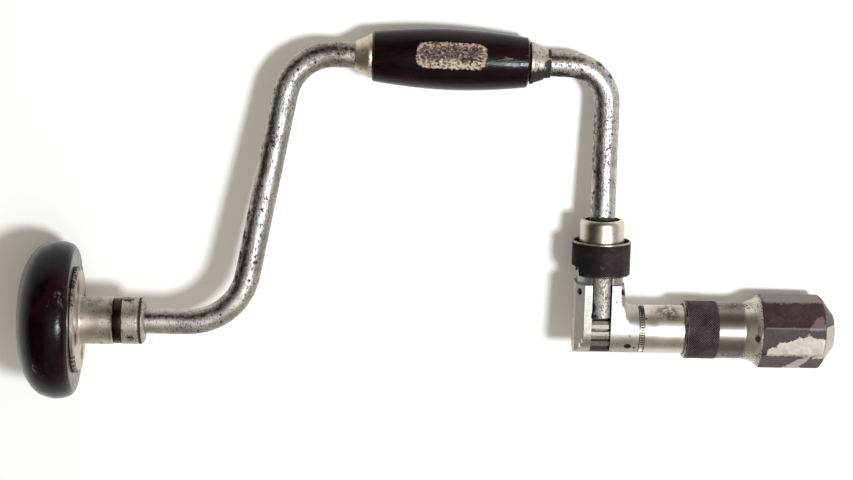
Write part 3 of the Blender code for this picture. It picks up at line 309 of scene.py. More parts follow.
def turned(profile, line, steps=96, relief=None):
    """A profile of (radius, height) carried round a line, as one sheet.

    The profile is closed round a bore when it starts off the axis. A relief changes the
    radius by angle and height.
    """
    profile = np.asarray(profile, float)
    hollow = profile[0, 0] > TINY
    angle = 2 * np.pi * np.arange(steps)[None, :] / steps
    radius = np.repeat(profile[:, :1], steps, axis=1)
    height = np.repeat(profile[:, 1:], steps, axis=1)
    if relief is not None:
        radius = relief(radius, angle, height)
    return line.points(radius, angle, height), hollow, True


def closed_profile(corners, edge, step=0.001):
    """A ring's profile with softened edges, from corners of which the last repeats the first."""
    return dense(softened(corners, edge)[:-1], step)


def rounded(radius, height, size, first, last, count):
    """An oval arc's (radius, height) points between two angles in degrees."""
    wide, high = size
    return [(radius + wide * math.cos(a), height + high * math.sin(a))
            for a in np.linspace(math.radians(first), math.radians(last), count)]


def carried(path, radius, steps=48):
    """A round section carried along a path, its sides turned as little as possible."""
    path = np.asarray(path, float)
    tangent = np.gradient(path, axis=0)
    tangent /= np.linalg.norm(tangent, axis=1)[:, None]
    across = np.empty_like(path)
    across[0] = W - tangent[0] * (W @ tangent[0])
    for index in range(1, len(path)):
        across[index] = across[index - 1] - tangent[index] * (across[index - 1] @ tangent[index])
        across[index] /= np.linalg.norm(across[index])
    across[0] /= np.linalg.norm(across[0])
    other = np.cross(tangent, across)
    angle = 2 * np.pi * np.arange(steps) / steps
    radius = np.broadcast_to(radius, len(path))[:, None, None]
    return (path[:, None, :] + radius * (np.cos(angle)[None, :, None] * across[:, None, :]
                                         + np.sin(angle)[None, :, None] * other[:, None, :]))


def capped(points):
    """A carried section's grid with both its ends drawn in to their middles."""
    first = points[:1].mean(axis=1, keepdims=True).repeat(points.shape[1], axis=1)
    last = points[-1:].mean(axis=1, keepdims=True).repeat(points.shape[1], axis=1)
    return np.concatenate([first, points, last])


def cad_copy(name, node, body, material, bevel=0.00025, angle=30):
    """A copy of a CAD node with its doubles merged, flat faces joined and edges broken."""
    mesh = frame["nodes"][node].data.copy()
    work = bmesh.new()
    work.from_mesh(mesh)
    bmesh.ops.remove_doubles(work, verts=work.verts, dist=1e-6)
    bmesh.ops.dissolve_limit(work, angle_limit=math.radians(0.5), verts=work.verts,
                             edges=work.edges)
    work.to_mesh(mesh)
    work.free()
    mesh.shade_smooth()
    mesh.set_sharp_from_angle(angle=math.radians(angle))
    piece = finished(name, mesh, body, material, [node])
    broken = piece.modifiers.new("broken_edges", "BEVEL")
    broken.width = bevel
    broken.segments = 2
    broken.limit_method = "ANGLE"
    broken.angle_limit = math.radians(angle)
    level = piece.modifiers.new("flat_faces", "WEIGHTED_NORMAL")
    level.keep_sharp = True
    return piece


def in_brace(points):
    """Points as (along, up, out) in the brace's own axes."""
    rel = points - HEART
    return np.stack([rel @ U, rel @ V, rel @ W], axis=-1)


def marks(points, spots):
    """A field of soft spots: the greatest of strength times a bell of each spot's distance."""
    place = in_brace(points)
    field = np.zeros(points.shape[:-1])
    for centre, size, strength in spots:
        offset = (place - np.array(centre)) / np.array(size)
        field = np.maximum(field, strength * np.exp(-(offset ** 2).sum(axis=-1)))
    return field


# Materials
class Nodes:
    """Short calls that make and join the nodes of a material or of the world."""

    def __init__(self, tree):
        self.tree = tree

    def new(self, kind, **settings):
        node = self.tree.nodes.new("ShaderNode" + kind)
        for name, value in settings.items():
            setattr(node, name, value)
        return node

    def feed(self, socket, value):
        """Another node's output joined to a socket, or a number or colour written in it."""
        if isinstance(value, bpy.types.NodeSocket):
            self.tree.links.new(value, socket)
        else:
            socket.default_value = (*value, 1) if isinstance(value, tuple) else value

    def math(self, operation, one, two=0.0):
        node = self.new("Math", operation=operation)
        self.feed(node.inputs[0], one)
        self.feed(node.inputs[1], two)
        return node.outputs[0]

    def times(self, one, two):
        return self.math("MULTIPLY", one, two)

    def plus(self, one, two):
        return self.math("ADD", one, two)

    def less(self, one, two):
        return self.math("SUBTRACT", one, two)

    def greatest(self, first, *others):
        for other in others:
            first = self.math("MAXIMUM", first, other)
        return first

    def parts(self, vector):
        """The three numbers of a vector."""
        node = self.new("SeparateXYZ")
        self.feed(node.inputs["Vector"], vector)
        return node.outputs["X"], node.outputs["Y"], node.outputs["Z"]

    def ramp(self, value, low, high, smooth=True):
        """A value drawn out so that low becomes nought and high becomes one."""
        node = self.new("MapRange", interpolation_type="SMOOTHSTEP" if smooth else "LINEAR")
        for name, fed in (("From Min", low), ("From Max", high), ("Value", value)):
            self.feed(node.inputs[name], fed)
        return node.outputs["Result"]

    def mixed(self, share, one, two, kind="RGBA", ends=("A_Color", "B_Color", "Result_Color")):
        """A mix of two colours by a share."""
        node = self.new("Mix", data_type=kind)
        sockets = {socket.identifier: socket for socket in (*node.inputs, *node.outputs)}
        for name, value in zip(("Factor_Float", *ends), (share, one, two)):
            self.feed(sockets[name], value)
        return sockets[ends[2]]

    def between(self, share, one, two):
        """A value between two others by a share."""
        return self.mixed(share, one, two, "FLOAT", ("A_Float", "B_Float", "Result_Float"))


class Finish(Nodes):
    """A material of the brace, whose patterns lie in the brace's own axes."""

    def __init__(self, name):
        self.material = bpy.data.materials.new(name)
        self.material.use_nodes = True
        super().__init__(self.material.node_tree)
        self.shader = self.tree.nodes["Principled BSDF"]

    @cached_property
    def place(self):
        """Object coordinates, turned into the brace's own axes and centred on its heart."""
        axes = Matrix((U, V, W))
        return self.mapped(self.new("TexCoord").outputs["Object"],
                           Rotation=axes.to_euler(), Location=-(axes @ Vector(HEART)))

    def mapped(self, vector, **settings):
        node = self.new("Mapping")
        for name, value in settings.items():
            node.inputs[name].default_value = value
        self.feed(node.inputs["Vector"], vector)
        return node.outputs["Vector"]

    def stretched(self, scale, stretch):
        return self.mapped(self.place, Scale=[scale / part for part in stretch])

    def shade(self, **fed):
        """The shader's sockets, fed by their names with low lines for blanks."""
        for name, value in fed.items():
            self.feed(self.shader.inputs[name.replace("_", " ")], value)

    def field(self, name):
        """A field of numbers that a piece's points carry."""
        return self.new("Attribute", attribute_name=name).outputs["Fac"]

    def noise(self, scale, detail=4.0, roughness=0.55, stretch=(1, 1, 1)):
        """A noise's value, finer as its scale grows, drawn out by the stretch."""
        node = self.new("TexNoise")
        for name, value in (("Scale", 1.0), ("Detail", detail), ("Roughness", roughness),
                            ("Vector", self.stretched(scale, stretch))):
            self.feed(node.inputs[name], value)
        return node.outputs["Fac"]

    def dots(self, scale, share, stretch=(1, 1, 1)):
        """Small uneven marks, one to a cell, in the share of the cells that is asked for."""
        cells = self.new("TexVoronoi")
        self.feed(cells.inputs["Scale"], 1.0)
        self.feed(cells.inputs["Vector"], self.stretched(scale, stretch))
        lot = self.new("SeparateColor")
        self.feed(lot.inputs["Color"], cells.outputs["Color"])
        chosen = self.math("LESS_THAN", lot.outputs["Red"], share)
        uneven = self.times(self.noise(scale * 3, 3, 0.6), 0.35)
        reach = self.plus(cells.outputs["Distance"], uneven)
        return self.times(chosen, self.ramp(reach, 0.50, 0.36))

    def spot(self, centre, size):
        """One at a centre, falling to nought at the edge of an oval of the given half sizes."""
        length = self.new("VectorMath", operation="LENGTH")
        self.feed(length.inputs[0], self.mapped(
            self.place, Location=[-c / s for c, s in zip(centre, size)],
            Scale=[1 / s for s in size]))
        return self.ramp(length.outputs["Value"], 1.0, 0.2)

    def occlusion_shade(self, reach):
        """Painted shade from ambient occlusion: one deep in corners and gaps, nought on open
        surfaces.
        """
        node = self.new("AmbientOcclusion", samples=8)
        self.feed(node.inputs["Distance"], reach)
        return self.ramp(node.outputs["AO"], 0.62, 0.30)

    def bump(self, height, depth):
        """The shading raised by a height field of a real depth."""
        node = self.new("Bump")
        for name, value in (("Strength", 1.0), ("Distance", depth), ("Height", height)):
            self.feed(node.inputs[name], value)
        self.shade(Normal=node.outputs["Normal"])


# Black of soot and grime, also used for painted shade in corners and on the ring's knurl
SOOT_AND_SHADE_BLACK = (0.016, 0.012, 0.010)
BROWN_FILM = (0.30, 0.24, 0.17)
# Brown of stains, also used for painted shade on the head's face and the barrel's upper side
STAIN_AND_SHADE_BROWN = (0.105, 0.090, 0.062)
# Brown of the painted shade band along the rod's sides
DARK_BAND_BROWN = (0.036, 0.021, 0.015)
SCRATCH_GREY = (0.36, 0.30, 0.34)


def worn_metal(name, light, shade, rough, pits=0.3, stain=0.3, reach=0.0022, spots=(), stains_and_shade=(),
               pit_scale=900, skin_share=0.3, etched=0.0, rim=None):
    """Old plated steel: clouds of tone, brown film, black pits in clusters, grime, painted shade
    in corners.

    Spots are hard black marks and stains_and_shade soft brown patches, each a centre, sizes
    and strength: most are grime and stain, some painted shade.
    Etched metal also has short fine dark strokes. A rim is two distances from the main axis
    between which ragged grime grows.
    """
    coat = Finish(name)
    cloud = coat.noise(110, 5, 0.6)
    colour = coat.mixed(coat.ramp(cloud, 0.3, 0.7), shade, light)
    film = coat.ramp(coat.noise(75, 6, 0.72), 0.66 - 0.18 * stain, 0.86 - 0.18 * stain)
    colour = coat.mixed(coat.times(film, 0.7), colour, BROWN_FILM)
    # Brown patches: stains, and painted shade where a finish's list asks for it
    for centre, size, strength in stains_and_shade:
        mottle = coat.ramp(coat.noise(420, 5, 0.7), 0.25, 0.65)
        stain_and_shade_patch = coat.times(coat.spot(centre, size), mottle)
        colour = coat.mixed(coat.times(stain_and_shade_patch, strength), colour, STAIN_AND_SHADE_BROWN)
    # Painted shade: a broken brown band along the rod's sides, standing for a dark reflection
    broken = coat.ramp(coat.noise(420, 5, 0.75), 0.22, 0.60)
    colour = coat.mixed(coat.times(coat.field("painted_dark_band"), broken), colour, DARK_BAND_BROWN)
    cluster = coat.ramp(coat.noise(52, 3, 0.65), 0.36, 0.66)
    share = coat.times(cluster, pits)
    fine = coat.dots(pit_scale, share, (1, 1.3, 1))
    coarse = coat.dots(pit_scale * 0.42, coat.times(share, 0.35), (1, 1.2, 1))
    soil_and_shade = coat.field("soil_and_shade")
    for centre, size, strength in spots:
        soil_and_shade = coat.greatest(soil_and_shade, coat.times(coat.spot(centre, size), strength))
    if rim:
        _, up, out = coat.parts(coat.place)
        radius = coat.math("SQRT", coat.plus(coat.times(up, up), coat.times(out, out)))
        sides = coat.ramp(coat.math("ABSOLUTE", up), 0.004, 0.013)
        edge = coat.times(coat.ramp(radius, *rim), sides)
        soil_and_shade = coat.greatest(soil_and_shade, coat.times(edge, 0.64))
    ragged = coat.times(coat.noise(620, 5, 0.7), 0.9)
    grime_and_shade = coat.ramp(coat.plus(soil_and_shade, ragged), 0.98, 1.14)
    # Pits and grime, with painted shade from ambient occlusion in corners and gaps
    dirt_and_shade = coat.greatest(fine, coarse, grime_and_shade, coat.times(coat.occlusion_shade(reach), 0.9))
    if etched:
        where = coat.ramp(coat.noise(60, 4, 0.7), 0.30, 0.62)
        stroke = coat.plus(coat.noise(1500, 4, 0.78, (1, 2.4, 1)), coat.times(where, 0.10))
        dirt_and_shade = coat.greatest(dirt_and_shade, coat.times(coat.ramp(stroke, 0.57, 0.68), etched))
    sheen = coat.between(coat.ramp(cloud, 0.35, 0.75), rough, rough + 0.12)
    sheen = coat.between(film, sheen, rough + 0.2)
    coat.shade(Base_Color=coat.mixed(dirt_and_shade, colour, SOOT_AND_SHADE_BLACK), Metallic=coat.between(dirt_and_shade, 1.0, 0.1),
               Roughness=coat.between(dirt_and_shade, sheen, 0.7))
    coat.bump(coat.less(coat.times(coat.noise(1600, 3, 0.65), skin_share), dirt_and_shade), 0.00005)
    return coat.material


def dark_wood(name, low, high, grain, scratched):
    """Nearly black polished hardwood: long grain, a red cast, rubbed scratches, small dents."""
    coat = Finish(name)
    stripe = coat.noise(300, 6, 0.6, grain)
    colour = coat.mixed(coat.ramp(stripe, 0.35, 0.7), low, high)
    red = coat.ramp(coat.noise(42, 4, 0.6), 0.46, 0.75)
    colour = coat.mixed(red, colour, (0.020, 0.004, 0.008))
    rub = coat.noise(480, 5, 0.75, tuple(part * 1.8 for part in grain))
    where = coat.ramp(coat.noise(34, 3), 0.56, 0.72)
    for centre, size in scratched:
        where = coat.greatest(where, coat.spot(centre, size))
    scratch = coat.times(coat.ramp(rub, 0.55, 0.63), where)
    colour = coat.mixed(coat.times(scratch, 0.55), colour, SCRATCH_GREY)
    dull = coat.ramp(coat.noise(260, 5, 0.7), 0.35, 0.75)
    rough = coat.between(scratch, coat.between(dull, 0.15, 0.30), 0.55)
    coat.shade(Base_Color=colour, Roughness=rough, Specular_IOR_Level=0.15)
    coat.bump(coat.less(coat.plus(coat.noise(900, 3, 0.6), stripe), scratch), 0.00008)
    return coat, colour, rough


def labelled_wood():
    """The grip's wood with what is left of a pasted label: pale flakes round a worn middle."""
    coat, colour, rough = dark_wood(
        "grip_wood_polish", (0.003, 0.001, 0.002), (0.014, 0.005, 0.006), (9, 1, 1),
        [((-0.040, 0.1270, 0.013), (0.016, 0.0045, 0.012))])
    label = coat.field("label")
    edge = coat.plus(label, coat.times(coat.noise(800, 5, 0.72), 4.2))
    pasted = coat.ramp(edge, 1.95, 2.10, False)
    rim = coat.ramp(label, 2.6, 0.8)
    _, up, _ = coat.parts(coat.place)
    drift = coat.times(coat.noise(260, 4, 0.7), 0.006)
    lower = coat.ramp(coat.plus(up, drift), LABEL_MIDDLE + 0.0034, LABEL_MIDDLE + 0.0014)
    flakes = coat.plus(coat.noise(950, 5, 0.75, (1.3, 1, 1)),
                       coat.times(coat.greatest(rim, lower), 0.085))
    paper = coat.mixed(coat.ramp(coat.noise(240, 3), 0.35, 0.65),
                       (0.47, 0.28, 0.24), (0.60, 0.43, 0.32))
    paper = coat.mixed(coat.times(lower, 0.8), paper, (0.63, 0.52, 0.38))
    worn = coat.mixed(coat.ramp(coat.noise(600, 4, 0.7), 0.4, 0.6),
                      (0.030, 0.018, 0.018), (0.13, 0.10, 0.09))
    printed = coat.mixed(coat.ramp(flakes, 0.54, 0.60, False), worn, paper)
    coat.shade(Base_Color=coat.mixed(pasted, colour, printed),
               Roughness=coat.between(pasted, rough, 0.8))
    return coat.material


def black_knurl(name, low, high, shaded_from, shaded_to):
    """Chemical black on a cut knurl: dark grooves, rubbed crests, bare metal at the rims.

    Between two places along the brace the rubbed colour falls away to black: painted shade on the
    side away from the lamp.
    """
    coat = Finish(name)
    crest = coat.ramp(coat.field("crest"), 0.30, 0.85)
    cloud = coat.ramp(coat.noise(120, 5, 0.65), 0.3, 0.7)
    along, _, _ = coat.parts(coat.place)
    # Painted shade: darker towards the side away from the lamp, with less rubbing there
    shaded = coat.ramp(along, shaded_from, shaded_to)
    ridge = coat.mixed(coat.times(shaded, 0.92), coat.mixed(cloud, low, high), SOOT_AND_SHADE_BLACK)
    colour = coat.mixed(crest, (0.004, 0.002, 0.004), ridge)
    ragged = coat.times(coat.noise(500, 5, 0.7), 0.6)
    bare = coat.ramp(coat.plus(coat.field("bare"), ragged), 0.80, 0.95)
    worn = coat.ramp(coat.noise(210, 4, 0.7), 0.56, 0.70)
    rub = coat.times(coat.times(crest, worn), coat.less(1.0, shaded))
    bare = coat.greatest(bare, coat.times(rub, 0.45))
    coat.shade(Base_Color=coat.mixed(bare, colour, (0.42, 0.37, 0.31)),
               Metallic=coat.between(bare, 0.15, 0.9), Roughness=0.40, Specular_IOR_Level=0.22)
    return coat.material


def flaked_paint():
    """Brown black japan over nickel: thin where half rubbed, gone in ragged flakes."""
    coat = Finish("flaked_black_japan")
    along, _, _ = coat.parts(coat.place)
    field_soil = coat.field("soil_and_shade")
    ragged = coat.less(coat.times(coat.noise(520, 8, 0.80), 1.3), 0.20)
    gone = coat.ramp(coat.plus(coat.field("bare"), ragged), 0.93, 0.97, False)
    rubbed = coat.ramp(coat.plus(coat.field("thin"), ragged), 0.93, 0.98, False)
    grain = coat.noise(700, 5, 0.7)
    patch = coat.ramp(coat.noise(130, 4, 0.6), 0.35, 0.70)
    paint = coat.mixed(coat.ramp(grain, 0.35, 0.7), (0.026, 0.012, 0.012), (0.052, 0.029, 0.029))
    paint = coat.mixed(coat.times(patch, 0.5), paint, (0.075, 0.046, 0.046))
    paint = coat.mixed(rubbed, paint, (0.17, 0.12, 0.115))
    metal = coat.mixed(coat.ramp(coat.noise(110, 5, 0.6), 0.3, 0.7),
                       (0.50, 0.46, 0.40), (0.66, 0.62, 0.55))
    soil_and_shade = coat.plus(field_soil, coat.times(coat.noise(620, 5, 0.75), 0.9))
    specks = coat.dots(850, coat.ramp(field_soil, 0.10, 0.60))
    fleck = coat.plus(coat.noise(1300, 4, 0.78), coat.times(field_soil, 0.30))
    specks = coat.greatest(specks, coat.ramp(fleck, 0.66, 0.73))
    # Dirt and specks, with painted shade from ambient occlusion in corners
    dirt_and_shade = coat.greatest(coat.ramp(soil_and_shade, 1.02, 1.12), specks,
                         coat.times(coat.occlusion_shade(0.0018), 0.9))
    band = coat.ramp(along, FLARE_START + 0.001, FLARE_START - 0.001)
    metal = coat.mixed(coat.times(band, 0.85), metal, (0.15, 0.128, 0.115))
    nose = coat.ramp(along, OCTAGON_END, OCTAGON_END + 0.0015)
    metal = coat.mixed(coat.times(nose, 0.8), metal, (0.38, 0.345, 0.31))
    flat = coat.times(coat.ramp(along, FLARE_START + 0.004, FLARE_END),
                      coat.ramp(along, OCTAGON_END + 0.0015, OCTAGON_END - 0.0005))
    beige = coat.mixed(coat.ramp(coat.noise(260, 5, 0.7), 0.35, 0.65),
                       (0.38, 0.33, 0.285), (0.52, 0.47, 0.42))
    metal = coat.mixed(flat, metal, beige)
    metal = coat.mixed(dirt_and_shade, metal, (0.030, 0.022, 0.018))
    clean = coat.times(gone, coat.less(1.0, dirt_and_shade))
    bare_rough = coat.between(flat, 0.33, 0.50)
    coat.shade(Base_Color=coat.mixed(gone, paint, metal), Specular_IOR_Level=0.35,
               Metallic=coat.times(clean, coat.between(flat, 0.92, 0.30)),
               Roughness=coat.between(gone, 0.44, bare_rough))
    coat.bump(coat.less(coat.times(grain, 0.15), gone), 0.00010)
    return coat.material


# Finishes: lighter and darker tone, roughness, and the marks that each piece carries
NICKEL = worn_metal("aged_nickel", (0.68, 0.64, 0.56), (0.54, 0.50, 0.42), 0.31,
                    pits=0.12, stain=0.25)
HEAD_NICKEL = worn_metal(
    "head_nickel", (0.48, 0.46, 0.43), (0.40, 0.38, 0.355), 0.44,
    pits=0.08, stain=0.15, reach=0.0016,
    spots=[((-0.0042, 0.0078, 0.009), (0.0020, 0.0046, 0.006), 0.95),
           # Painted shade on the floor of the head's slot
           ((0.0, -0.0089, 0.0060), (0.0095, 0.0024, 0.0010), 1.4)],
    # Painted shade: darker and browner down the left of the front face
    stains_and_shade=[((-0.0065, 0.0040, 0.0115), (0.0034, 0.0260, 0.004), 0.42)])
BARREL_NICKEL = worn_metal(
    "barrel_nickel", (0.68, 0.64, 0.57), (0.56, 0.52, 0.46), 0.34, pits=0.06, reach=0.0016,
    # Painted shade: darker and browner on the barrel's upper side, towards the shell
    stains_and_shade=[((0.0315, 0.0100, 0.006), (0.0110, 0.0068, 0.010), 1.0),
            ((0.0330, 0.0085, 0.008), (0.0050, 0.0034, 0.006), 0.9)])
ROD_NICKEL = worn_metal(
    "pitted_nickel", (0.62, 0.585, 0.55), (0.43, 0.40, 0.375), 0.36,
    pits=0.60, stain=0.45, skin_share=1.1, etched=0.8,
    stains_and_shade=[((-0.1260, 0.1250, 0.004), (0.0230, 0.0130, 0.012), 0.75)])
COLLAR_NICKEL = worn_metal(
    "stained_nickel", (0.60, 0.55, 0.48), (0.44, 0.40, 0.35), 0.40,
    pits=0.70, stain=0.4, pit_scale=800, skin_share=0.6, etched=0.5)
PLATE_NICKEL = worn_metal(
    "pad_plate_nickel", (0.60, 0.53, 0.46), (0.46, 0.40, 0.34), 0.36,
    pits=0.35, stain=0.5, reach=0.0026, etched=0.35, rim=(0.0215, 0.0242),
    spots=[((-0.2264, 0.0075, 0.004), (0.0016, 0.0080, 0.012), 0.90)],
    stains_and_shade=[((-0.2360, 0.0100, 0.004), (0.0100, 0.0042, 0.012), 0.7),
            ((-0.2272, 0.0030, 0.006), (0.0034, 0.0150, 0.012), 1.1)])
WARM_NICKEL = worn_metal("yellowed_nickel", (0.72, 0.65, 0.49), (0.58, 0.52, 0.38), 0.42,
                         pits=0.15)
BARE_STEEL = worn_metal(
    "bare_steel", (0.46, 0.43, 0.39), (0.34, 0.31, 0.28), 0.50,
    pits=0.45, stain=0.2, reach=0.0030, pit_scale=800, skin_share=0.9, etched=0.7,
    spots=[((-0.0040, 0.0118, 0.009), (0.0034, 0.0044, 0.005), 0.95),
           ((-0.0030, 0.0078, 0.009), (0.0060, 0.0022, 0.005), 0.85)])
GEAR_STEEL = worn_metal(
    "gear_steel", (0.38, 0.355, 0.32), (0.27, 0.25, 0.22), 0.44,
    pits=0.50, reach=0.0036, pit_scale=800, skin_share=0.9,
    # Painted shade where the gear passes under the head at the window's bottom and top
    spots=[((0.0, -0.0108, 0.007), (0.0140, 0.0036, 0.010), 1.0),
           ((0.0, 0.0075, 0.009), (0.0140, 0.0014, 0.010), 0.8)])
FERRULE_STEEL = worn_metal(
    "ferrule_steel", (0.62, 0.57, 0.51), (0.46, 0.42, 0.38), 0.42,
    pits=0.70, pit_scale=800, skin_share=0.6, etched=0.5)
DARK_STEEL = worn_metal("blackened_steel", (0.055, 0.036, 0.028), (0.014, 0.009, 0.007), 0.34,
                        pits=0.2, stain=0.0)
PAD_WOOD = dark_wood(
    "pad_wood_polish", (0.0015, 0.0006, 0.0015), (0.008, 0.003, 0.005), (1, 6, 1),
    [((-0.257, -0.016, 0.030), (0.006, 0.007, 0.012))])[0].material
GRIP_WOOD = labelled_wood()
# The ring's knurl gets painted shade on its left, away from the lamp
RING_KNURL = black_knurl("ring_black", (0.034, 0.022, 0.023), (0.110, 0.084, 0.080),
                         shaded_from=0.0040, shaded_to=-0.0090)
# The chuck's knurl lies past both these places, so no part of it is shaded
CHUCK_KNURL = black_knurl("chuck_black", (0.085, 0.058, 0.062), (0.190, 0.145, 0.140),
                          shaded_from=-1.0, shaded_to=-2.0)
SHELL_PAINT = flaked_paint()


# Crank
def rounded_path(corners, radii, steps=24):
    """Straight runs joined by arcs tangent to both, as points."""
    path = [np.array(corners[0], float)]
    for before, corner, after, radius in zip(corners, corners[1:], corners[2:], radii):
        before, corner, after = (np.array(p, float) for p in (before, corner, after))
        towards = (before - corner) / np.linalg.norm(before - corner)
        away = (after - corner) / np.linalg.norm(after - corner)
        half = math.acos(towards @ away) / 2
        middle = towards + away
        centre = corner + middle / np.linalg.norm(middle) * radius / math.sin(half)
        start = corner + towards * radius / math.tan(half) - centre
        end = corner + away * radius / math.tan(half) - centre
        sweep = math.pi - 2 * half
        turn = sweep * np.linspace(0, 1, steps + 1)[:, None]
        arc = start * np.sin(sweep - turn) + end * np.sin(turn)
        path.extend(centre + arc / math.sin(sweep))
    path.append(np.array(corners[-1], float))
    return np.array(path)


# Where the rod is black with rust, and painted shade where it goes into the nut:
# centre, half sizes and strength, in the brace's own axes
ROD_SPOTS = [
    ((-0.1538, 0.0945, 0.004), (0.0032, 0.0026, 0.006), 0.78),
    ((-0.1537, 0.0858, 0.004), (0.0036, 0.0060, 0.006), 0.78),
    ((-0.1530, 0.0980, 0.003), (0.0030, 0.0180, 0.007), 0.56),
    ((-0.1495, 0.0800, 0.004), (0.0022, 0.0160, 0.008), 0.54),
    ((-0.1659, 0.0285, 0.004), (0.0034, 0.0020, 0.008), 0.80),
    ((-0.1613, 0.0296, 0.004), (0.0030, 0.0020, 0.008), 0.78),
    ((-0.1800, 0.0170, -0.002), (0.0120, 0.0070, 0.006), 0.56),
    ((-0.1330, 0.1180, 0.005), (0.0100, 0.0060, 0.008), 0.52),
    ((-0.0226, 0.1196, 0.003), (0.0070, 0.0022, 0.006), 0.95),
    ((-0.0150, 0.1180, 0.003), (0.0070, 0.0022, 0.006), 0.95),
    ((-0.0040, 0.1250, 0.003), (0.0040, 0.0036, 0.006), 0.74),
    ((0.0008, 0.1195, 0.003), (0.0028, 0.0070, 0.006), 0.72),
    ((-0.0033, 0.0745, 0.005), (0.0022, 0.0010, 0.006), 1.1),
    ((0.0040, 0.0800, 0.001), (0.0026, 0.0260, 0.005), 0.54),
    ((-0.0056, 0.0900, 0.002), (0.0024, 0.0360, 0.006), 0.62),
    # Painted shade: the rod blackened where it goes down into the nut's bore
    ((0.0, 0.0520, 0.004), (0.0090, 0.0019, 0.010), 1.2),
] + [((-0.1736 + 0.17 * up, up, 0.003), (0.0024, 0.0080, 0.006), 0.70)
     for up in (0.012, 0.022, 0.032, 0.042, 0.052)]


def make_crank_rod():
    """The bent rod: a round section carried along straight runs and three arcs."""
    arm_top = SWEEP_RADIUS - GRIP_DROP * GRIP_CENTRE / LEG_TOP
    corners = [(COLLAR_START, 0, 0), (-LEG_FOOT, 0, 0), (-LEG_TOP, arm_top + GRIP_DROP, 0),
               (0, arm_top, 0), (0, UPPER_NECK_TOP + GAP, 0)]
    path = dense(rounded_path(corners, (FOOT_BEND, LEG_TOP_BEND, ARM_TOP_BEND)), 0.0012)
    journal = [(JOURNAL_END, 0, 0), (COLLAR_START - TINY * 5, 0, 0)]
    tenon = [(0, UPPER_NECK_TOP + GAP - TINY * 5, 0), (0, TENON_END, 0)]
    path = np.concatenate([journal, path, tenon])
    radius = np.full(len(path), ROD_RADIUS)
    radius[:2] = JOURNAL_RADIUS
    radius[-2:] = TENON_RADIUS
    world = HEART + path @ np.stack([U, V, W])
    grid = capped(carried(world, radius))
    # Side is how far a point lies to the path's left, in radii: a band of painted shade, standing
    # for a dark reflection, runs along both sides
    along = np.gradient(path, axis=0)
    along /= np.linalg.norm(along, axis=1)[:, None]
    arm = along[:, 1] < -0.3
    left = np.where(arm, -1, 1)[:, None] * np.stack([-along[:, 1], along[:, 0]], axis=1)
    rows = np.arange(-1, len(path) + 1).clip(0, len(path) - 1)
    offset = (in_brace(grid)[..., :2] - path[rows, None, :2]) / ROD_RADIUS
    side = (offset * left[rows, None]).sum(axis=-1)
    painted_dark_band = np.maximum(np.exp(-((side - 0.55) / 0.22) ** 2),
                         0.42 * np.exp(-((side + 0.80) / 0.28) ** 2) * ~arm[rows, None])
    add_piece("rod", (grid, False, True), "crank", ROD_NICKEL, ["crank_rod"],
              {"soil_and_shade": marks(grid, ROD_SPOTS), "painted_dark_band": painted_dark_band})


make_crank_rod()


# Pad
def make_pad():
    """The pad's wood, its flange with the neck sleeve, the thrust ring and the collar."""
    shares = smooth_curve(PAD_OUTLINE_SHARES, 70)
    face = np.stack([PAD_RADIUS * shares[:, 1], PAD_FACE - PAD_DEPTH * shares[:, 0]], axis=1)
    face[-1, 0] = 0
    inner = [(0, PAD_CAVITY_FLOOR), (PAD_CAVITY_RADIUS, PAD_CAVITY_FLOOR),
             (PAD_CAVITY_RADIUS, PAD_FACE)]
    profile = np.concatenate([dense(inner + [tuple(face[0])], 0.003)[:-1], face])
    add_piece("pad_turning", turned(profile, MAIN, 160), "pad", PAD_WOOD,
              ["pad_wood"])
    cad_copy("pad_plate", "pad_flange", "pad", PLATE_NICKEL, 0.0003)
    bore = JOURNAL_RADIUS + BEARING_GAP
    thrust = softened([(bore, THRUST_END), (THRUST_RADIUS, THRUST_END),
                       (THRUST_RADIUS, THRUST_START), (bore, THRUST_START),
                       (bore, THRUST_END)], 0.0005)[:-1]
    add_piece("pad_ring", turned(thrust, MAIN), "pad", DARK_STEEL,
              ["pad_thrust_ring"])
    bore = ROD_RADIUS + GAP
    groove = COLLAR_END - COLLAR_CROWN
    crown = rounded(COLLAR_RADIUS - COLLAR_CROWN, groove, (COLLAR_CROWN, COLLAR_CROWN), 80, 0, 14)
    corners = [(bore, COLLAR_END)] + crown + [
        (COLLAR_RADIUS - 0.0005, groove - 0.0004), (COLLAR_RADIUS, groove - 0.001),
        (COLLAR_RADIUS, COLLAR_START), (bore, COLLAR_START), (bore, COLLAR_END)]
    sheet = turned(closed_profile(corners, 0.0003), MAIN)
    soil_and_shade = marks(sheet[0], [((-0.2185, -0.0062, 0.009), (0.0050, 0.0044, 0.010), 0.70),
                            ((-0.2195, 0.0108, 0.003), (0.0060, 0.0034, 0.010), 0.70),
                            ((-0.2200, 0.0030, -0.011), (0.0050, 0.0040, 0.010), 0.66)])
    # Darker along the step below the collar's crown
    groove_line = np.exp(-((in_brace(sheet[0])[..., 0] - COLLAR_GROOVE) / 0.0010) ** 2)
    add_piece("rod_collar", sheet, "crank", COLLAR_NICKEL, ["pad_collar"],
              {"soil_and_shade": np.maximum(soil_and_shade, 0.9 * groove_line)})


make_pad()


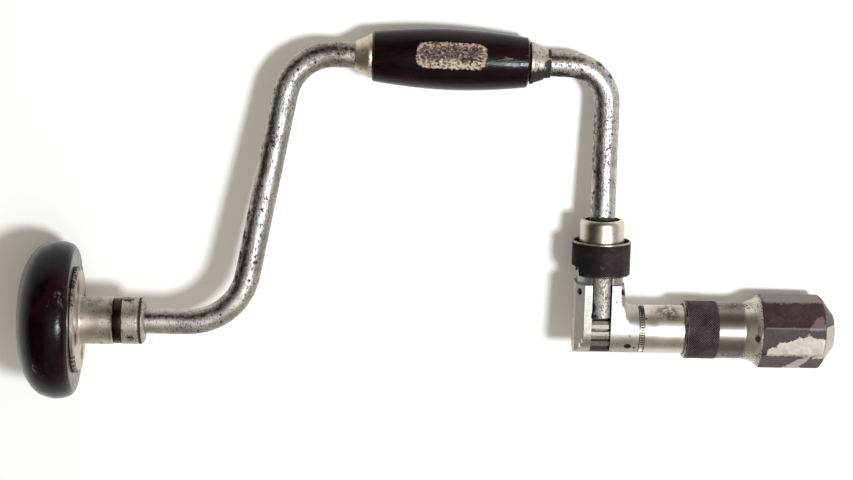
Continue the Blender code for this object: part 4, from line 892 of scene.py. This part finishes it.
# Grip
def label_depth(points):
    """Millimetres inside the label's rounded outline, negative outside: a box's distance.

    Its two sides are the place along the grip and the arc from the middle of the label.
    """
    rel = points - GRIP_HEART
    middle = np.array(LABEL_TOWARDS) / np.linalg.norm(LABEL_TOWARDS)
    middle = middle - GRIP_ALONG * (middle @ GRIP_ALONG)
    side = np.cross(GRIP_ALONG, middle)
    angle = np.arctan2(rel @ side, rel @ middle)
    along = np.abs(rel @ GRIP_ALONG) - (LABEL_HALF_LENGTH - LABEL_CORNER)
    across = np.abs(angle) * GRIP_MIDDLE_RADIUS - (LABEL_HALF_WIDTH - LABEL_CORNER)
    outside = np.hypot(np.maximum(along, 0), np.maximum(across, 0))
    return 1000 * (LABEL_CORNER - outside - np.minimum(np.maximum(along, across), 0))


def make_grip():
    """The grip's wood and the ferrules on the rod at its ends."""
    half = GRIP_LENGTH / 2
    height = np.linspace(half - GRIP_EDGE, -half + GRIP_EDGE, 60)
    bulge = (GRIP_MIDDLE_RADIUS - GRIP_END_RADIUS) * np.cos(height / half * np.pi / 2) ** 0.9
    side = np.stack([GRIP_END_RADIUS + bulge, height], axis=1)
    bore = ROD_RADIUS + BEARING_GAP
    rim = GRIP_END_RADIUS - GRIP_EDGE
    profile = np.concatenate([[(bore, half), (rim, half)], side, [(rim, -half), (bore, -half)]])
    sheet = turned(profile, GRIP, 160)
    add_piece("grip_turning", sheet, "grip", GRIP_WOOD, ["grip_wood"],
              {"label": label_depth(sheet[0])})
    seat = ROD_RADIUS + GAP
    start = -half - GAP
    tip = start - LEFT_FERRULE_LENGTH
    corners = [(seat, start), (0.0101, start), (0.0101, start - 0.0015), (0.0096, start - 0.0017),
               (FERRULE_TIP_RADIUS, tip), (seat, tip), (seat, start)]
    add_piece("ferrule_left", turned(closed_profile(corners, 0.0002), GRIP), "crank",
              WARM_NICKEL, ["grip_ferrule_left"])
    start = half + RIGHT_FERRULE_START
    tip = start + RIGHT_FERRULE_LENGTH
    corners = [(seat, tip), (FERRULE_TIP_RADIUS, tip), (0.0069, start + 0.0064),
               (0.0076, start + 0.0061), (0.0092, start + 0.0015), (0.0097, start + 0.0015),
               (0.0097, start), (seat, start), (seat, tip)]
    sheet = turned(closed_profile(corners, 0.0002), GRIP)
    soil_and_shade = marks(sheet[0], [((-0.0272, 0.1290, 0.008), (0.0016, 0.0034, 0.02), 1.0),
                            ((-0.0275, 0.1225, 0.006), (0.0032, 0.0060, 0.02), 1.0),
                            ((-0.0320, 0.1170, 0.005), (0.0090, 0.0070, 0.02), 1.1)])
    add_piece("ferrule_right", sheet, "crank", FERRULE_STEEL,
              ["grip_ferrule_right"], {"soil_and_shade": soil_and_shade})


make_grip()


# Head, cap nut and direction ring
def knurl(angle, height, diamonds, low, high):
    """How high a diamond knurl stands, nought to one: the lower of two slanting sawteeth."""
    turn = angle * diamonds / (2 * np.pi)
    along = height / KNURL_PITCH
    one = np.abs((turn + along) % 1 * 2 - 1)
    two = np.abs((turn - along) % 1 * 2 - 1)
    inside = (height > low) & (height < high)
    return np.where(inside, np.minimum(1, 1.5 * np.minimum(one, two)), 1.0)


def knurled(profile, line, radius, diamonds, low, high):
    """A turned sheet with its outer side cut to a diamond knurl, and the knurl's height."""
    steps = diamonds * COLUMNS_PER_DIAMOND
    crest = np.zeros((len(profile), steps))

    def relief(r, angle, height):
        cut = knurl(angle, height, diamonds, low, high)
        outer = np.abs(r - radius) < 1e-6
        crest[:] = np.where(outer, cut, 0.0)
        return np.where(outer, r - KNURL_DEPTH * (1 - cut), r)
    return turned(profile, line, steps, relief), crest


def make_cap_nut():
    """The plain nut above the ring, rounded over at its top."""
    shoulder = UPPER_NECK_TOP + GAP
    wide, high = 0.0016, 0.0026
    round_over = rounded(CAP_RADIUS - wide, CAP_TOP - high, (wide, high), 8, 82, 12)
    corners = [(CAP_THREAD_RADIUS, CAP_BOTTOM), (CAP_RADIUS, CAP_BOTTOM)] + round_over + [
        (CAP_RADIUS - 0.0018, CAP_TOP), (CAP_BORE, CAP_TOP), (CAP_BORE, shoulder),
        (CAP_THREAD_RADIUS, shoulder), (CAP_THREAD_RADIUS, CAP_BOTTOM)]
    profile = closed_profile(corners, 0.0003, 0.0008)
    sheet = turned(profile, ARM)
    # Painted shade: the nut's bore below its top is made solid black through the soil_and_shade
    # field
    deep = (profile[:, 0] < 0.0090) & (profile[:, 1] < CAP_TOP - 0.0002)
    soil_and_shade = np.repeat(deep[:, None] * 1.2, sheet[0].shape[1], axis=1)
    add_piece("neck_nut", sheet, "crank", NICKEL, ["cap_nut"], {"soil_and_shade": soil_and_shade})


def make_direction_ring():
    """The knurled ring on the neck, its lower rim cut away over the notch's arc."""
    inner = RING_RADIUS - RING_WALL
    edge = RING_RADIUS - 0.0003
    flange = UPPER_NECK_TOP - 0.0118 + GAP
    outer = [(RING_RADIUS, h)
             for h in np.linspace(RING_TOP - 0.0003, RING_BOTTOM + 0.0003, KNURL_ROWS)]
    profile = [(inner + 0.0002, RING_TOP), (edge, RING_TOP)] + outer + [
        (edge, RING_BOTTOM), (inner, RING_BOTTOM), (inner, flange), (RING_BORE, flange),
        (RING_BORE, flange + RING_FLANGE), (inner, flange + RING_FLANGE)]
    (points, rows_wrap, columns_wrap), crest = knurled(
        profile, ARM, RING_RADIUS, RING_DIAMONDS, RING_BOTTOM + 0.0006, RING_TOP - 0.0008)
    along, up = (in_brace(points)[..., axis] for axis in (0, 1))
    floor = np.where(along < NOTCH_EDGE, RING_BOTTOM + RING_NOTCH, RING_BOTTOM)
    lift = np.maximum(floor - up, 0) * (up < flange - TINY)
    points = points + lift[..., None] * V
    bare = np.clip((up - (RING_TOP - 0.0010)) / 0.0004, 0, 1)
    add_piece("turning_ring", (points, rows_wrap, columns_wrap), "ring",
              RING_KNURL, ["direction_ring"], {"crest": crest, "bare": 0.62 * bare}, sharp=14)


def make_neck_ring():
    """The thin ring between head and barrel, its rim cut with fine notches whose gaps carry
    painted shade.
    """
    low, high = NECK_RING_LOW, NECK_RING_HIGH
    half = (high - low) / 2
    edge = BARREL_RADIUS - 0.0002
    profile = [(NECK_RING_BORE, high), (edge, high)] + [
        (BARREL_RADIUS, h) for h in np.linspace(high - 0.0002, low + 0.0002, 12)] + [
        (edge, low), (NECK_RING_BORE, low)]
    steps = NECK_TEETH * 6
    notched = np.zeros((len(profile), steps))

    def relief(r, angle, height):
        middle = np.abs(height - (low + half)) < 0.6 * half
        gap = (angle * NECK_TEETH / (2 * np.pi)) % 1 < 0.5
        # Painted shade: the notch gaps are made black through the soil_and_shade field
        notched[:] = np.where((r > 0.011) & middle & gap, 1.3, 0.0)
        return r - NOTCH_DEPTH * notched
    sheet = turned(profile, MAIN, steps, relief)
    grease = marks(sheet[0], [((0.0193, 0.0095, 0.0050), (0.0040, 0.0055, 0.0080), 0.74)])
    add_piece("serrated_ring", sheet, "spindle", NICKEL, ["neck_ring"],
              {"soil_and_shade": np.maximum(notched, grease)})


# Chuck shell
def octagon_limit(radius, angle, corner, worn=90):
    """The radius held inside a worn eight sided prism: a soft least of radius and flats."""
    down = np.array((0.0, 0.0, -1.0))
    first = math.atan2(down @ W, down @ V)
    flat = corner * math.cos(math.pi / OCTAGON_SIDES)
    reach = np.zeros_like(angle)
    for side in range(OCTAGON_SIDES):
        turn = side * 2 * math.pi / OCTAGON_SIDES
        reach += np.maximum(np.cos(angle - first - turn), 1e-3) ** worn
    wall = flat / reach ** (1 / worn)
    return (radius ** -worn + wall ** -worn) ** (-1 / worn)


def make_chuck_shell():
    """The shell: a turned blank whose thick part is held inside the octagon, and its bore."""
    rear_bore = BARREL_RADIUS + BEARING_GAP
    corner = OCTAGON_CORNER
    lip = MOUTH_RADIUS + 0.0002
    outer = [(rear_bore, SHELL_REAR), (KNURL_RADIUS - 0.0006, SHELL_REAR),
             (KNURL_RADIUS - 0.0004, KNURL_END), (BAND_RADIUS, KNURL_END),
             (BAND_RADIUS, FLARE_START), (0.0149, FLARE_START + 0.0050),
             (corner + 0.0008, FLARE_END), (corner + 0.0008, OCTAGON_END),
             (0.0094, NOSE_TIP - 0.0007), (0.0087, NOSE_TIP), (lip, NOSE_TIP)]
    outer = dense(softened(outer, 0.0009, 6), 0.0004)
    inner = [(lip, NOSE_TIP), (MOUTH_RADIUS, NOSE_TIP - 0.0003), (MOUTH_RADIUS, CONE_FRONT),
             (CONE_SMALL_RADIUS, CONE_FRONT), (CHAMBER_RADIUS, CONE_REAR),
             (CHAMBER_RADIUS, CHAMBER_REAR), (THREAD_RADIUS, THREAD_FRONT),
             (THREAD_RADIUS, THREAD_REAR), (rear_bore, THREAD_REAR),
             (rear_bore, SHELL_REAR + 0.0004)]
    profile = np.concatenate([outer, dense(inner, 0.004)[1:]])
    outside = np.arange(len(profile)) < len(outer) - 3

    def relief(r, angle, height):
        held = octagon_limit(r, angle, corner)
        return np.where(outside[:, None] & (height > FLARE_START - 0.002), held, r)
    sheet = turned(profile, MAIN, 288, relief)
    bare, thin, soil_and_shade = shell_marks(sheet[0])
    add_piece("chuck_body", sheet, "shell", SHELL_PAINT, ["chuck_shell"],
              {"bare": bare, "thin": thin, "soil_and_shade": soil_and_shade}, sharp=60)
    ring = [(KNURL_RADIUS - 0.0009, SHELL_REAR), (KNURL_RADIUS - 0.0001, SHELL_REAR + 0.0009)] + [
        (KNURL_RADIUS, h)
        for h in np.linspace(SHELL_REAR + 0.0010, KNURL_END - 0.0004, KNURL_ROWS)] + [
        (KNURL_RADIUS - 0.0001, KNURL_END - 0.0002), (KNURL_RADIUS - 0.0003, KNURL_END),
        (KNURL_RADIUS - 0.0009, KNURL_END), (KNURL_RADIUS - 0.0010, SHELL_REAR + 0.0001)]
    sheet, crest = knurled(ring, MAIN, KNURL_RADIUS, CHUCK_DIAMONDS, SHELL_REAR + 0.0012,
                           KNURL_END - 0.0004)
    along = in_brace(sheet[0])[..., 0]
    bare = np.clip((SHELL_REAR + 0.0011 - along) / 0.0003, 0, 1)
    add_piece("chuck_knurl", sheet, "shell", CHUCK_KNURL, ["chuck_shell"],
              {"crest": crest, "bare": 0.70 * bare}, sharp=14)


def inside_outline(along, across, outline):
    """Distance inside a closed outline, negative outside.

    The least distance to its sides, with its sign from how often a line to one side crosses.
    """
    near = np.full(along.shape, 1e9)
    within = np.zeros(along.shape, bool)
    for (ax, ay), (bx, by) in zip(outline, outline[1:] + outline[:1]):
        dx, dy = bx - ax, by - ay
        share = np.clip(((along - ax) * dx + (across - ay) * dy) / (dx * dx + dy * dy), 0, 1)
        near = np.minimum(near, np.hypot(along - ax - share * dx, across - ay - share * dy))
        between = (ay > across) != (by > across)
        slope = dx / dy if dy else 0.0
        within ^= between & (along < ax + (across - ay) * slope)
    return np.where(within, near, -near)


def facet_flake(points, facet, outline):
    """How surely a point lies in a flake on one of the octagon's flats, nought to one.

    Facet nought lies upwards. The outline is (along, up the flat) in millimetres.
    """
    place = in_brace(points) * 1000
    up = np.array((0.0, 0.0, 1.0))
    turn = math.atan2(up @ W, up @ V) - facet * 2 * math.pi / OCTAGON_SIDES
    out = place[..., 1] * math.cos(turn) + place[..., 2] * math.sin(turn)
    across = place[..., 1] * math.sin(turn) - place[..., 2] * math.cos(turn)
    depth = inside_outline(place[..., 0], across, outline)
    return np.clip(0.5 + depth / 4.4, 0, 1) * (out > 12)


# Flakes off the octagon's paint, by flat, in millimetres along the shell and up the flat
LARGE_FLAKE = [(77.0, -7.2), (77.4, -3.6), (81.2, -2.6), (82.0, -0.4), (86.7, -0.2), (89.9, 0.9),
               (92.1, 2.9), (94.3, 1.3), (96.0, 4.2), (98.5, 1.5), (105.0, 1.6), (105.0, -7.4)]
RUBBED_FLAKE = [(96.0, -7.6), (104.0, -7.6), (103.4, -0.4), (100.5, -1.2), (98.8, -4.2)]
LOWER_FLAKE = [(85.6, -7.6), (89.6, -2.2), (92.6, 2.4), (98.4, 7.4), (97.2, 0.4), (94.0, -3.8),
               (96.2, -7.6)]
CORNER_FLAKE = [(99.0, 3.0), (99.5, 7.4), (104.0, 7.4), (104.0, 4.0)]
TOP_FLAKE = [(76.0, -7.6), (76.0, 7.6), (104.0, 7.6), (104.0, -7.6)]
BACK_FLAKE = [(80.0, -4.0), (84.0, 2.5), (90.0, 0.5), (95.0, 4.0), (96.0, -3.0), (88.0, -5.0)]


def shell_marks(points):
    """Where the shell's paint is gone, where it is thin, and where the bare metal is dirty."""
    along, up, out = (in_brace(points)[..., axis] for axis in range(3))
    bare = np.maximum(np.clip((FLARE_END - 0.0010 - along) / 0.0010, 0, 1),
                      np.clip((along - OCTAGON_END - 0.0012) / 0.0010, 0, 1) * (up < 0.0050))
    for facet, outline in ((0, LARGE_FLAKE), (-1, LOWER_FLAKE), (-1, CORNER_FLAKE),
                           (4, BACK_FLAKE), (-3, BACK_FLAKE)):
        bare = np.maximum(bare, facet_flake(points, facet, outline))
    thin = np.maximum(facet_flake(points, 1, RUBBED_FLAKE), 0.34)
    thin = np.maximum(thin, 0.80 * facet_flake(points, 2, TOP_FLAKE))
    soil_and_shade = marks(points, [((0.0728, -0.0007, 0.0140), (0.0013, 0.0021, 0.01), 1.2),
                          ((0.0640, 0.0128, 0.0060), (0.0150, 0.0026, 0.012), 0.66),
                          ((0.0640, -0.0105, 0.0080), (0.0150, 0.0030, 0.012), 0.62),
                          ((0.0660, -0.0125, -0.0060), (0.0120, 0.0040, 0.012), 0.42),
                          ((0.0740, -0.0095, 0.0110), (0.0030, 0.0060, 0.012), 0.60),
                          ((0.0868, 0.0020, 0.0150), (0.0007, 0.0007, 0.004), 1.2)])
    soil_and_shade = np.maximum(soil_and_shade, 0.55 * np.exp(-((along - FLARE_END + 0.0010) / 0.0022) ** 2))
    return bare, thin, soil_and_shade


make_cap_nut()
make_direction_ring()
make_neck_ring()
make_chuck_shell()

# Pieces whose model shape is already right, with their edges broken
cad_copy("head", "ratchet_head", "crank", HEAD_NICKEL)
for made, node, body, slot, finish in (
        ("pawl_at_front", "pawl_front", "front_pawl", "steel", BARE_STEEL),
        ("pawl_at_back", "pawl_back", "back_pawl", "steel", BARE_STEEL),
        ("gear", "ratchet_gear", "spindle", "dark_steel", GEAR_STEEL),
        ("spindle_barrel", "spindle", "spindle", "nickel", BARREL_NICKEL)):
    cad_copy(made, node, body, finish, 0.00012)

# Pieces kept from the model as they are: bright ones by name, the others blackened
BRIGHT_NODES = {"end_plug", "jaw_upper", "jaw_lower", "pad_collar_pin", "closing_ring"}
REPLACED_NODES = {
    "crank_rod", "ratchet_head", "pawl_front", "pawl_back", "ratchet_gear", "spindle",
    "pad_wood", "pad_flange", "pad_thrust_ring", "pad_collar", "grip_wood",
    "grip_ferrule_left", "grip_ferrule_right", "cap_nut", "direction_ring", "neck_ring",
    "chuck_shell"}
for name, node in frame["nodes"].items():
    if name not in REPLACED_NODES:
        for place in node.material_slots:
            place.material = NICKEL if name in BRIGHT_NODES else DARK_STEEL


# Room, light and camera
def make_stage():
    """A pale floor under the brace, lit softly from the chuck's side."""
    mesh = bpy.data.meshes.new("floor")
    reach = FLOOR_HALF_SIZE
    mesh.from_pydata([(-reach, -reach, 0), (reach, -reach, 0), (reach, reach, 0),
                      (-reach, reach, 0)], [], [(0, 1, 2, 3)])
    floor = bpy.data.objects.new("floor", mesh)
    bpy.context.scene.collection.objects.link(floor)
    paint = Finish("floor_white")
    paint.shade(Base_Color=FLOOR_COLOUR, Roughness=0.9, Specular_IOR_Level=0.0)
    rays = paint.new("LightPath").outputs
    glow = paint.new("Emission")
    paint.feed(glow.inputs["Color"], GLOW_COLOUR)
    seen = paint.greatest(rays["Is Camera Ray"], rays["Is Glossy Ray"])
    paint.feed(glow.inputs["Strength"], paint.times(seen, FLOOR_GLOW))
    both = paint.new("AddShader")
    paint.feed(both.inputs[0], paint.shader.outputs["BSDF"])
    paint.feed(both.inputs[1], glow.outputs["Emission"])
    paint.feed(paint.tree.nodes["Material Output"].inputs["Surface"], both.outputs["Shader"])
    mesh.materials.append(paint.material)


def make_lamp():
    """A round lamp up to the right of the brace, turned to its middle."""
    data = bpy.data.lights.new("key", "AREA")
    data.shape = "DISK"
    data.size = LAMP_SIZE
    data.energy = LAMP_POWER
    data.color = LAMP_COLOUR
    lamp = bpy.data.objects.new("key", data)
    bpy.context.scene.collection.objects.link(lamp)
    lamp.location = Vector(LAMP_DIRECTION).normalized() * LAMP_DISTANCE
    towards = Vector(LAMP_TARGET) - lamp.location
    lamp.rotation_euler = towards.to_track_quat("-Z", "Y").to_euler()


def make_room():
    """A dim room: dark to the left, grey to the right, bright low down and round the lamp."""
    world = bpy.data.worlds.new("room")
    bpy.context.scene.world = world
    world.use_nodes = True
    room = Nodes(world.node_tree)
    direction = room.new("TexCoord").outputs["Generated"]
    x, y, z = room.parts(direction)
    towards = room.new("VectorMath", operation="DOT_PRODUCT")
    towards.inputs[1].default_value = Vector(LAMP_DIRECTION).normalized()
    room.feed(towards.inputs[0], direction)
    near = towards.outputs["Value"]
    across = room.plus(room.times(x, 0.9), room.times(y, -0.35))
    wall = room.mixed(room.ramp(across, -0.55, 0.85), (0.040, 0.028, 0.020), (0.45, 0.415, 0.36))
    wall = room.mixed(room.ramp(z, 0.22, 0.10), wall, (0.60, 0.57, 0.52))
    sky = room.mixed(room.ramp(near, 0.55, 0.90), wall, (0.33, 0.285, 0.22))
    sky = room.mixed(room.ramp(near, 0.84, 0.95), sky, (0.92, 0.90, 0.84))
    background = room.tree.nodes["Background"]
    room.feed(background.inputs["Color"], sky)
    room.feed(background.inputs["Strength"], 1.0)


def make_camera():
    """The camera at the photograph's viewing angle."""
    data = bpy.data.cameras.new("camera")
    data.lens = CAMERA_LENS
    data.sensor_width = CAMERA_SENSOR
    camera = bpy.data.objects.new("camera", data)
    bpy.context.scene.collection.objects.link(camera)
    camera.location = CAMERA_PLACE
    camera.rotation_euler = CAMERA_TURN
    bpy.context.scene.camera = camera


make_stage()
make_room()
make_lamp()
make_camera()
bpy.context.scene.view_settings.view_transform = "Standard"
